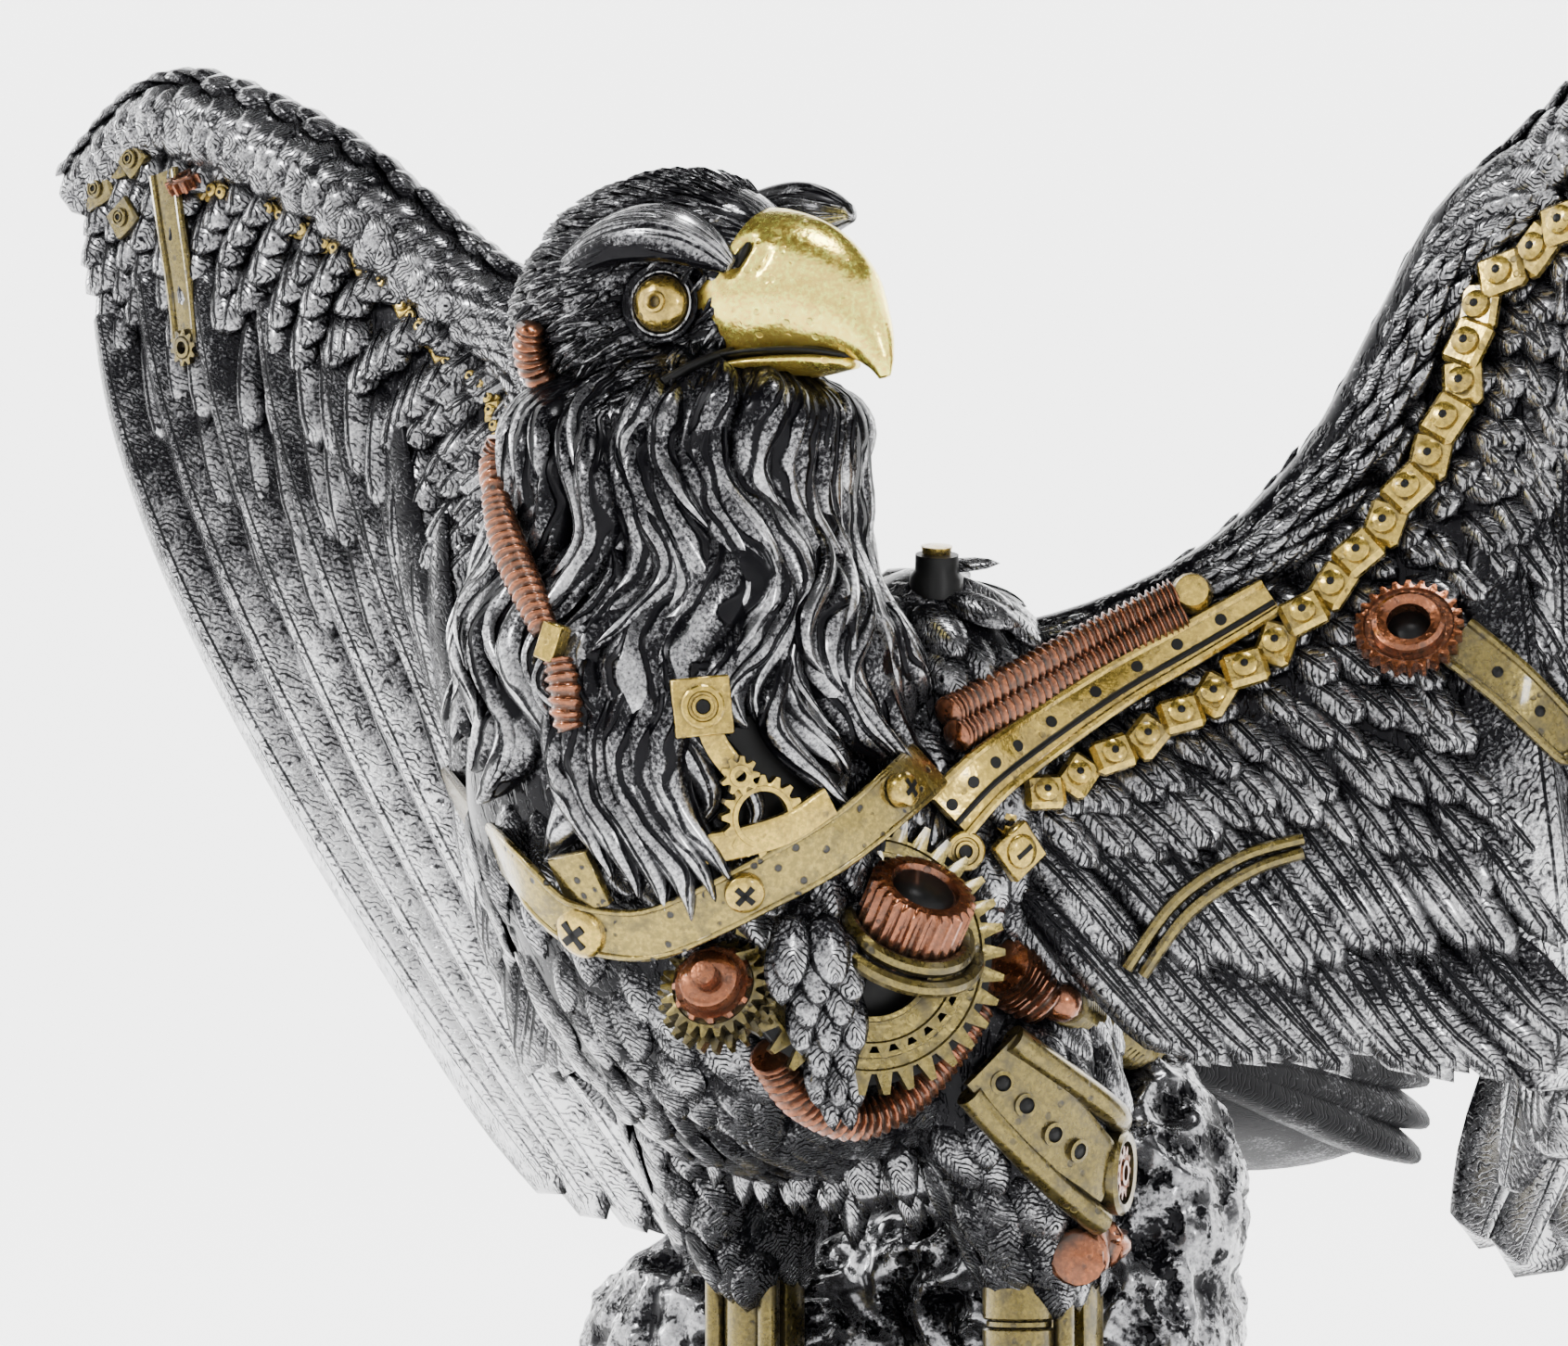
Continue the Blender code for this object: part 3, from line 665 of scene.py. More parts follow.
# The dark the metals go to, for their dirt, casting pits and painted shade.
SOOT_AND_SHADE = rgb(0.012, 0.01, 0.006)
BEAK_GOLD = metal_paint("beak_gold", rgb(0.85, 0.6, 0.11), rgb(0.3, 0.19, 0.03), pits=0.25,
                        wear=0.2)
PITTED_BRASS = metal_paint("pitted_brass", BRASS, SOOT_AND_SHADE, pits=1.0, wear=0.45)
BRIGHT_BRASS = metal_paint("bright_brass", GOLD, SOOT_AND_SHADE, pits=0.3, wear=0.4)
AGED_BRASS = metal_paint("aged_brass", DULL_BRASS, SOOT_AND_SHADE, pits=0.4, wear=0.5, rough=0.34)
AGED_COPPER = metal_paint("aged_copper", COPPER, SOOT_AND_SHADE, pits=0.3, wear=0.35)


# Painted shade: a near-black, nearly matt finish for the thin pieces laid in holes, slits, cuts and
# hollows, standing for the shade in them over the black wash.
def painted_shade_black():
    f = Finish("painted_shade_black")
    f.shader.inputs["Specular IOR Level"].default_value = 0.15
    return f.set(rgb(0.004, 0.004, 0.004), 0.0, 0.4)


PAINTED_SHADE = painted_shade_black()


# Feathers

QUARTERS = (0, 0.25, 0.5, 0.75, 1.0)
FEATHER_HEIGHTS = (0.5, 0.85, 1.0, 1.0, 0.9, 0.35)
ROUND_TIP = (0.35, 0.8, 1.0, 1.0, 0.97, 0.6)
POINTED_TIP = (0.45, 0.95, 1.0, 0.85, 0.5, 0.06)
LEAF_TIP = (0.4, 0.85, 1.0, 0.98, 0.72, 0.12)
LONG_TIP = (0.45, 0.8, 0.92, 1.0, 1.0, 0.98, 0.9, 0.4)
BROAD_TIP = (0.45, 0.7, 0.85, 0.95, 1.0, 1.0, 1.0, 0.97, 0.55)


def add_feather(piece, line, facing, width, height, tip=ROUND_TIP, size=(8, 7), ridge=0.0,
                flat=0.75, curl=0.25):
    """One feather along a line of points. Facing is the way its outer face looks."""
    line, facing = np.asarray(line, float), np.asarray(facing, float)
    tangent = unit(line[-1] - line[0])
    aside = unit(np.cross(facing, tangent))
    length = float(np.linalg.norm(np.diff(line, axis=0), axis=1).sum())
    piece.add(size, sweep(line, [width * k for k in tip], [height * k for k in FEATHER_HEIGHTS], aside,
                          ridge=ridge, flat=flat, curl=curl), grain=(width, length))


def wing_feather(piece, wing, u, lean, d_root, d_tip, width, height, rise, side=1.0, **more):
    """A feather lying on the wing, from d_root to d_tip millimetres down its row.

    rise is its height over the wing's middle sheet at its root and at its tip.
    """
    reach = wing.length(u)
    t = np.linspace(0, 1, 6)
    v = (d_root + (d_tip - d_root) * t) / reach
    us = np.clip(u + lean * t, 0.0, 1.0)
    n = wing.normal(us, v) * side
    spread = wing.at(us, v) + n * (rise[0] + (rise[1] - rise[0]) * t)[:, None]
    over = np.clip(v - 1.0, 0, None) * reach
    if over.max() > 0:
        down = unit(wing.at(us, 1.0 + 0 * v) - wing.at(us, 0.9 + 0 * v))
        spread = spread + down * over[:, None]
    add_feather(piece, spread, n[2:4].mean(0), width, height, **more)


def make_wing_core(wing, side_name, thickness=6.0):
    """The bare wing and its thick leading edge, which the feathers and the metal lie on."""
    def place(s, angle):
        u = (s - 1 / 40) / (1 - 2 / 40)
        v = 0.5 - 0.5 * np.cos(angle)
        half = thickness * (0.5 - 0.32 * v)
        return wing.at(u, v) + wing.normal(u, v) * (half * np.sin(angle))[:, None]

    core = Piece(f"{side_name}_wing_core")
    core.add((36, 40), place, grain=(60, 200))
    t = np.linspace(0, 1, 14)
    radii = curve(ARM_RADII, t)
    core.add((20, 40), sweep(wing.at(t, 0.045 + 0 * t), radii, radii * 0.8, vec(0, 0, 1)),
             grain=(10, 240))
    return core.finish(SKIN_SILVER)


ARM_RADII = (8, 8.5, 8, 8, 7.5, 5)


def zone(u, reach):
    """How far down from the leading edge the coverts of the front reach."""
    outer = ease(u, 0.42, 0.58)
    return (reach + 3.5) * (1 - outer) + (152 + 8 * math.sin(u * 9)) * outer


def make_wing_front(wing, side_name):
    coverts = Piece(f"{side_name}_wing_coverts")
    middles = np.concatenate([np.linspace(0.01, 0.47, 22), np.linspace(0.5, 0.98, 15)])
    for middle, gap in zip(middles, np.gradient(middles)):
        bottom = zone(middle, wing.length(middle))
        outer = float(ease(middle, 0.42, 0.58))
        long_row, pitch, long_rows = 13 + 6 * outer, 7.6 + 1.6 * outer, round(2 + 2 * outer)
        tips = [(d, pitch, 3.3 + 1.0 * outer, k % 2, False) for k, d in enumerate(
            np.arange(13.0, bottom - long_rows * long_row + 3, pitch))]
        tips += [(bottom - k * long_row, long_row, 3.7 + 1.2 * outer - 0.2 * k, k % 2, True)
                 for k in range(long_rows - 1, -1, -1)]
        for d_tip, step, width, shift, broad in tips:
            u = min(0.985, middle + 0.5 * shift * gap + rng.normal() * 0.0025)
            length = step * 1.55 + 4.0
            lean = (0.055 * (1 - outer) + 0.006) * length / 18
            d = d_tip + rng.normal() * 0.9
            wing_feather(coverts, wing, u, lean + rng.normal() * 0.006, d - length, d,
                         width * (1 + rng.normal() * 0.09), 0.95 + 0.7 * outer + 0.7 * broad,
                         (0.3, 3.7 + 0.9 * outer + 0.3 * rng.random()),
                         tip=LEAF_TIP if not broad and rng.random() < 0.3 - 0.3 * outer else ROUND_TIP,
                         curl=0.8, ridge=0.3, size=(10, 8))
    coverts.finish(COVERT_SILVER)

    flight = Piece(f"{side_name}_wing_flight_feathers")
    for i in range(8):
        u = 0.46 + 0.53 * i / 7
        reach = wing.length(u)
        wing_feather(flight, wing, u, 0.0, 60, reach + 5 - 0.9 * i + 2 * math.sin(i * 2.1),
                     9.6 + 1.4 * (i / 7), 4.2, (0.3 + 0.4 * i, 0.6 + 0.65 * i), tip=BROAD_TIP,
                     size=(24, 30), ridge=0.3, curl=1.0, flat=0.5)
    flight.finish(FLIGHT_SILVER)


def make_wing_back(wing, side_name):
    back = Piece(f"{side_name}_wing_back")
    for i in range(24):
        u = (i + 0.4) / 24
        reach = wing.length(u)
        wing_feather(back, wing, u, 0.0, reach * 0.38, reach * 1.0 - 1, 5.5 + 2.0 * u, 1.9,
                     (0.6 + 0.3 * (i % 2), 1.3 + 0.5 * (i % 2)), side=-1.0, tip=LONG_TIP,
                     size=(10, 12), ridge=0.2)
    for k in range(9, 0, -1):
        for i in range(30):
            u = (i + 0.5 * (k % 2) + 0.25) / 30
            reach = wing.length(u)
            d_tip = reach * (0.06 + 0.56 * k / 9)
            length = reach * 0.09 + 7
            wing_feather(back, wing, u, 0.012, max(1.0, d_tip - length), d_tip, 3.6 + 0.15 * k,
                         1.4, (0.6, 3.9), side=-1.0, tip=LEAF_TIP, curl=0.4)
    back.finish(SCALE_SILVER)


def make_wing_arm(wing, side_name):
    """Small feathers round the thick leading edge: narrow by the body, round by the wrist."""
    arm = Piece(f"{side_name}_wing_arm")
    count = 54
    for i in range(count):
        u = (i + 0.3) / count
        wrist = float(ease(u, 0.35, 0.6))
        size = float(curve(ARM_RADII, u))
        here, ahead = wing.at(u, 0.045), wing.at(min(u + 0.06, 1.0), 0.045)
        if np.linalg.norm(ahead - here) < 4:
            here, ahead = wing.at(0.93, 0.045), wing.at(1.0, 0.045)
        along = unit(ahead - here)
        here = wing.at(u, 0.045)
        n = wing.normal(u, 0.045)
        rise = unit(np.cross(along, n))
        rise = rise * (1 if rise[2] > 0 else -1)
        for k in range(11):
            if wrist > 0.5 and (k + i) % 2:
                continue
            turn = -0.95 + 0.42 * k + 0.21 * (i % 2) + rng.normal() * 0.05
            out = n * math.cos(turn) + rise * math.sin(turn)
            out = out * (size * (1.0 - 0.18 * abs(math.cos(turn))))
            length = (10.0 + 3.0 * rng.random()) * (1 - wrist) + 9.5 * wrist
            sag = -rise * (3.0 * math.cos(turn) if turn < 1.2 else 0.0)
            line = [here + out * (0.84 + 0.3 * s) + along * (length * s) + sag * s
                    for s in QUARTERS]
            add_feather(arm, line, out, 1.9 + 3.2 * wrist, 0.9 + 1.4 * wrist,
                        tip=ROUND_TIP if wrist > 0.5 else POINTED_TIP, curl=0.3)
    arm.finish(SCALE_SILVER)


# Body, neck and legs

def torso_point(s, angle):
    """A point on the trunk: s from the breast to the tail, angle 0 on its left, 90 underneath."""
    path, wide, deep = TORSO[:, :3], TORSO[:, 3], TORSO[:, 4]
    centre = curve(path, s)
    tangent = unit(curve(path, s + 0.01) - curve(path, s - 0.01))
    x = np.broadcast_to(vec(1, 0, 0), tangent.shape)
    under = np.cross(x, tangent)
    under = under * np.where(under[..., 2:3] > 0, -1, 1)
    w, d = curve(wide, s), curve(deep, s)
    return centre + x * (w * np.cos(angle))[..., None] + under * (d * np.sin(angle))[..., None], centre


def make_body():
    body = Piece("body")
    body.add((40, 40), lambda s, a: torso_point(s, a)[0], grain=(60, 200))

    def neck_form(s, angle):
        return neck_point(angle + math.pi / 2, 118 + 104 * s, 0 * s, (1 - (2 * s - 1) ** 10) ** 0.5)

    body.add((40, 40), neck_form, grain=(60, 100))
    for hand in (-1, 1):
        centre, radii = vec(hand * 24, -30, 152), vec(22, 22, 28 + 7 * (hand > 0))
        body.add((28, 20), lambda s, a: centre + radii * np.stack(
            [np.sin(np.pi * s) * np.cos(a), np.sin(np.pi * s) * np.sin(a), -np.cos(np.pi * s)], -1),
            grain=(40, 60))
        hip, knee = vec(hand * 20, -18, 128), vec(hand * 28, -3, 78)
        body.add((28, 20), sweep([hip, hip + (knee - hip) * 0.45 + vec(hand * 3, 0, 0), knee],
                                 [17, 17, 10], [24, 21, 12], vec(1, 0, 0)), grain=(30, 60))
    return body.finish(SKIN_SILVER)


def clothe(piece, host, spacing, flow, lie, keep=None, tries=14000, **more):
    """Lays small feathers all over a bare form. flow(point, normal) is the way they point."""
    mesh = host.data
    mesh.calc_loop_triangles()
    tris = [[np.array(mesh.vertices[i].co) / MM for i in t.vertices] for t in mesh.loop_triangles]
    tris = np.array(tris)
    normals = np.cross(tris[:, 1] - tris[:, 0], tris[:, 2] - tris[:, 0])
    areas = np.linalg.norm(normals, axis=1)
    normals = unit(normals)
    bm = bmesh.new()
    bm.from_mesh(mesh)
    tree = BVHTree.FromBMesh(bm)
    bm.free()
    pick = rng.choice(len(tris), tries, p=areas / areas.sum())
    a, b = rng.random(tries), rng.random(tries)
    fold = a + b > 1
    a, b = np.where(fold, 1 - a, a), np.where(fold, 1 - b, b)
    corner, second, third = tris[pick, 0], tris[pick, 1], tris[pick, 2]
    points = corner + (second - corner) * a[:, None] + (third - corner) * b[:, None]
    taken = {}
    length, width, height, lift = lie
    for p, n in zip(points, normals[pick]):
        cell = tuple((p // spacing).astype(int))
        near = [q for dx in (-1, 0, 1) for dy in (-1, 0, 1) for dz in (-1, 0, 1)
                for q in taken.get((cell[0] + dx, cell[1] + dy, cell[2] + dz), ())]
        if any(((p - q) ** 2).sum() < spacing * spacing for q in near):
            continue
        taken.setdefault(cell, []).append(p)
        if keep and not keep(p, n):
            continue
        hit = tree.ray_cast(Vector((p + n * 0.3) * MM), Vector(n))
        if hit[0] is not None and hit[1].dot(Vector(n)) > 0:
            continue
        way = flow(p, n)
        way = unit(way - n * (way @ n) + np.cross(n, way) * rng.normal() * 0.18)
        long = length * (0.85 + 0.3 * rng.random())
        bend = -n * long * long / 85.0
        line = [p + way * (long * t) + n * (lift * t - 0.4 * height) + bend * t * t
                for t in QUARTERS]
        add_feather(piece, line, n, width * (0.85 + 0.3 * rng.random()), height, **more)


def make_body_feathers(body):
    def flow(p, n):
        return vec(0.12 * np.sign(p[0]), 0.45, -1.0)

    def keep(p, n):
        return p[2] < 178 + 12 * (p[1] > -52) and not (p[2] > 150 and p[1] < -70)

    piece = Piece("body_feathers")
    clothe(piece, body, 4.9, flow, (13.0, 3.7, 0.55, 1.9), keep, tip=LEAF_TIP, curl=1.2, ridge=0.7,
           size=(10, 7))
    for k in range(26):
        x, y = -12 + 24 * (k % 9) / 8, -34 + 13 * (k // 9) + 2 * rng.normal()
        start = vec(x, y, 112 - 0.1 * (y + 34) + 2 * rng.normal())
        line = [start + vec(0.02 * x, 0.25, -1) * (26 * s) for s in QUARTERS]
        add_feather(piece, line, vec(0.3 * x, -12, 0), 4.4, 1.6, tip=LEAF_TIP, size=(10, 8), flat=0.2)
    piece.finish(SCALE_SILVER)


def add_lock(piece, angle, top, bottom, out, width, height=3.0, swing=0.17, flick=1.2, phase=0.0):
    """One tress on the neck. Neighbours wave together, because the wave hangs on the height."""
    t = np.linspace(0, 1, 12)
    z = top + (bottom - top) * t
    wave = np.sin(2 * np.pi * z / 36.0 + 1.4 * math.sin(angle * 2) + phase)
    bend = angle + swing * wave * (0.35 + 0.65 * t) + 0.06 * math.sin(angle * 3 + 1) * t
    sway = 1.2 * np.sin(2 * math.pi * z / 27.0 + angle * 3)
    off = out - 3.0 * (1 - ease(t, 0, 0.35)) + sway + flick * t ** 3
    line = neck_point(bend, z, off)
    middle, _ = neck_middle(z)
    facing = unit(line - middle)
    aside = np.cross(facing, np.broadcast_to(vec(0, 0, -1), facing.shape))
    piece.add((16, 24), sweep(line, [width * k for k in (0.3, 0.75, 1, 1, 0.95, 0.8, 0.5, 0.05)],
                              [height * k for k in (0.3, 0.8, 1, 1, 1, 0.95, 0.7, 0.2)], aside,
                              ridge=0.15, curl=0.3), grain=(width, float(top - bottom)))


CLOCKWORK_ANGLE = 0.86


def make_mane():
    """Tiers of tresses, from under the cheeks down to the collar, each over the one below."""
    mane = Piece("mane")
    tiers = ((23, 172, 130, 1.4, 5.0), (25, 190, 143, 1.6, 4.6), (25, 206, 155, 1.5, 4.0),
             (23, 214, 172, 1.2, 3.7), (21, 220, 188, 0.6, 3.3))
    for k, (count, top, bottom, out, width) in enumerate(tiers):
        for i in range(count):
            angle = 2 * math.pi * (i + 0.5 * (k % 2) + 0.2 * rng.normal()) / count
            high = min(top, 213 + 4 * max(0.0, -math.sin(angle)) ** 2)
            low = bottom + 5 * rng.normal()
            front = min(angle, 2 * math.pi - angle)
            if front < 1.7:
                low = max(low, 137 + (12 if angle < 3 else 27) * front + 2 * rng.random())
            if abs(angle - CLOCKWORK_ANGLE) < 0.28:
                low = max(low, 157 + 3 * rng.normal())
            if high > low + 8:
                add_lock(mane, angle, high + 1.5 * rng.normal(), low, out + 0.5 * rng.normal(),
                         width * (1 + 0.2 * rng.normal()), phase=0.35 * rng.normal())
    for k in range(40):
        angle, top = 2 * math.pi * rng.random(), 172 + 34 * rng.random()
        add_lock(mane, angle, top, top - 26 - 10 * rng.random(), 3.2, 2.4, height=2.2, swing=0.2,
                 flick=2.0, phase=0.8 * rng.normal())
    for k in range(6):
        add_lock(mane, 0.1 + 0.085 * k, 168, 128 + 3 * abs(k - 2.6), 4.0 + 0.6 * (k % 2), 3.6,
                 swing=0.07, flick=1.0, phase=2.2)
    for k in range(9):
        add_lock(mane, 1.35 + 0.1 * k, 214 - 2 * (k % 2), 182 - 4 * (k % 3), 1.0 + 0.5 * (k % 2), 3.6,
                 height=2.4, swing=0.12, phase=0.3)
    mane.finish(MANE_SILVER)


def make_tail():
    """A thick blunt tail with four layers of broad feathers over and under it."""
    tail = Piece("tail_feathers")
    spine = vec((0, 46, 108), (0, 76, 107), (0, 106, 103), (0, 122, 100))
    tail.add((40, 30), sweep(spine, [12, 22, 30, 33, 28], [9, 12, 13, 13, 10], vec(1, 0, 0)),
             grain=(60, 90))
    for layer, share in ((9.0, 0.74), (6.0, 1.0), (-2.0, 1.0), (-9.0, 0.97)):
        for i in range(9):
            side = 2 * i / 8 - 1
            root = vec(side * 11, 46, 114)
            tip = vec(side * 32, 46 + 89 * (1 - 0.14 * side * side), 104 - 3 * side * side)
            tip = root + (tip - root) * share
            t = np.linspace(0, 1, 6)[:, None]
            line = root + (tip - root) * t + vec(0, 0, 1) * (1.5 * np.sin(np.pi * t) + layer * t)
            add_feather(tail, line, vec(0.3 * side, 0.2, 1), 8.0, 5.0, tip=BROAD_TIP, size=(16, 18),
                        ridge=0.2, flat=0.0)
    tail.finish(TAIL_SILVER)


# Head

def head_point(s, angle):
    """The skull, from its back at s 0 to the beak's root at s 1, with its brow over its eye."""
    rows = vec((-21, 222, 5, 7), (-17, 223, 12, 11.5), (-8, 226, 15.5, 16.5), (4, 227, 16, 18),
               (14, 228, 14, 15.5), (22, 228, 9.5, 11), (25, 228, 5, 6))
    x, z, w, h = (curve(rows[:, k], s) for k in range(4))
    y = w * np.cos(angle)
    up = h * np.sin(angle)
    p = np.stack([x, HEAD_Y + y, z + up], -1)
    out = unit(np.stack([0 * x, y, up], -1))
    for hand in (-1, 1):
        eye = vec(9.8, HEAD_Y + hand * 13.8, 223.4)
        away = np.linalg.norm((p - eye) * vec(0.9, 0.7, 1.05), axis=-1)
        near = np.sign(y) == hand
        p = p - out * (5.4 * np.exp(-(away / 7.6) ** 4) * near)[..., None]
        cheek = vec(0, HEAD_Y + hand * 14, 214)
        away = np.linalg.norm(p - cheek, axis=-1)
        p = p + out * (1.6 * np.exp(-(away / 7.5) ** 2))[..., None]
    return p


def make_head(body):
    head = Piece("head")
    head.add((180, 120), head_point, grain=(16, 46), wrap=True)
    bare = head.finish(HAIR_SILVER)

    brows = Piece("brows")
    for hand in (-1, 1):
        line = vec((-14, 11.4, 226.5), (-4, 13.6, 231.0), (5, 14.2, 233.6), (13, 13.6, 233.2),
                   (18.5, 11.8, 230.6), (22.5, 10.2, 227.4)) * vec(1, hand, 1) + vec(0, HEAD_Y, 0)
        if hand > 0:
            line = line + vec(0, 0, 1) + np.linspace(0, 1, 6)[:, None] * vec(8.5, -1.0, 9.5)
        brows.add((24, 36), sweep(line, [1.0, 3.8, 5.2, 5.2, 3.8, 1.4], [0.8, 2.5, 3.3, 3.4, 2.7, 0.9],
                                  vec(0, -0.75 * hand, 1)), grain=(6, 36))
    brows.finish(BROW_SILVER)

    def flow(p, n):
        side = p - vec(11.5, HEAD_Y, 223.5)
        fall = 0.25 + 0.035 * max(0.0, side[0] + 14) - 0.03 * (p[2] - 223.5)
        return vec(-1.0, 0, -max(fall, -0.35))

    def keep(p, n):
        hand = np.sign(p[1] - HEAD_Y)
        away = np.linalg.norm((p - vec(9.8, HEAD_Y + hand * 13.8, 223.4)) * vec(1, 0.7, 1))
        glossy = 0 < p[0] < 20 and 230 < p[2] < 236 and abs(p[1] - HEAD_Y) > 9
        return away > 6.6 and p[0] < 20 and not glossy and p[2] > 212

    def down(p, n):
        return vec(-0.75 if p[0] < 12 else -0.15, 0, -1.0)

    strokes = Piece("head_feathers")
    clothe(strokes, bare, 1.6, flow, (6.2, 0.72, 0.5, 1.1), keep, tries=18000, tip=POINTED_TIP,
           curl=0.2, size=(6, 5))
    clothe(strokes, body, 1.7, down, (5.5, 1.0, 0.5, 0.9),
           lambda p, n: p[2] > 201 and n[2] > -0.45 and p[0] < 14, tries=30000,
           tip=POINTED_TIP, curl=0.2, size=(6, 6))
    strokes.finish(HAIR_SILVER)
    return bare


def make_face_metal(skin):
    beak = Piece("beak", slot="aged_brass")
    rows = vec((13, 225.5, 8.5, 9.5), (20, 225.8, 10.6, 12.0), (28, 224.6, 9.0, 11.0),
               (35, 221.2, 6.4, 8.4), (39.5, 217.3, 4.2, 4.8), (42, 213.4, 2.3, 2.4),
               (43, 210.4, 0.8, 0.9))
    line = np.stack([rows[:, 0], 0 * rows[:, 0] + HEAD_Y, rows[:, 1]], -1)
    base = sweep(line, rows[:, 2], rows[:, 3], vec(0, 1, 0))

    def upper(s, angle):
        p = base(s, angle)
        culmen = np.exp(-((p[:, 1] - HEAD_Y) / 2.6) ** 2) * (p[:, 2] > 224)
        p[:, 2] += culmen * 0.5
        for hand in (-1, 1):
            for at, lean, wide, deep in (((23.2, 9.4, 229.4), 0.42, 1.0, 2.4),
                                         ((26.6, 9.0, 228.4), 0.36, 0.7, 1.2)):
                d = (p - vec(at[0], HEAD_Y + hand * at[1], at[2])) * vec(1.0, 0.6, 0.36)
                d[:, 0] -= d[:, 2] * lean / 0.36
                dent = np.exp(-(np.linalg.norm(d, axis=1) / wide) ** 2)
                p[:, 1] -= hand * dent * deep * (np.sign(p[:, 1] - HEAD_Y) == hand)
        return p

    # raised is lower at the beak's root, so it is a little darker there.
    beak.add((96, 80), upper, raised=lambda s, angle: 0.75 - 0.35 * (s < 0.16))
    lower = vec((10, HEAD_Y, 212.6), (22, HEAD_Y, 213.4), (32, HEAD_Y, 213.5), (37.5, HEAD_Y, 213.0))
    beak.add((24, 24), sweep(lower, [8.0, 8.6, 5.8, 2.0], [1.2, 1.6, 1.4, 0.8], vec(0, 1, 0)),
             raised=0.8)
    beak.finish(BEAK_GOLD)
    # The gape, the cheek groove and the nostril slits are dark with painted shade.
    mouth = Piece("mouth_line")
    gape = vec((10, HEAD_Y, 213.8), (22, HEAD_Y, 215.0), (32, HEAD_Y, 214.9), (37.5, HEAD_Y, 214.0))
    mouth.add((24, 20), sweep(gape, [9.0, 9.2, 6.2, 2.0], [1.0, 1.1, 1.0, 0.6], vec(0, 1, 0)))
    cheek = skin.trail(MOUTH_CORNER, 0.5, 8)[0]
    for hand in (-1, 1):
        tube(mouth, (cheek - vec(0, HEAD_Y, 0)) * vec(1, -hand, 1) + vec(0, HEAD_Y, 0), 0.75)
        slit = vec((22.6, 8.9, 227.4), (23.2, 8.7, 229.4), (24.2, 8.0, 231.6)) * vec(1, hand, 1)
        mouth.add((8, 8), sweep(slit + vec(0, HEAD_Y, 0), [0.2, 0.8, 0.2], [0.6, 0.9, 0.6],
                                vec(1, 0, 0)))
    mouth.finish(PAINTED_SHADE)
    eyes, lids, sockets = Piece("eyes", slot="aged_brass"), Piece("eye_lids"), Piece("eye_sockets")
    for hand in (-1, 1):
        at, facing = vec(9.9, HEAD_Y + hand * 11.2, 223.2), (0.25, hand, -0.05)
        disc(eyes, at, facing,
             ((0, -2), (4.2, -1.6), (4.4, 0.0), (4.1, 0.9), (3.3, 1.7), (2.4, 2.2), (1.7, 2.4),
              (1.6, 2.9), (1.2, 3.1), (0.8, 2.8), (0.75, 1.9), (0, 1.9)), around=40, raised=0.6)
        disc(lids, at, facing, ((4.5, -1.5), (5.2, -1.0), (5.1, 0.2), (4.8, 0.4), (4.5, 0.0), (4.5, -1.5)),
             around=40)
        disc(sockets, at, facing, ((4.6, -2), (6.0, -0.2), (6.2, 0.6), (5.8, 0.7), (5.0, -0.4), (0, -0.6),
                                   (0, -2), (4.6, -2)), around=36)
    eyes.finish(BRIGHT_BRASS, sharp=50)
    lids.finish(BROW_SILVER)
    sockets.finish(SKIN_SILVER)


# Metalwork

PHOTO_MIDDLE = (845.5, 726.0)
PHOTO_FOCUS = 4800.0


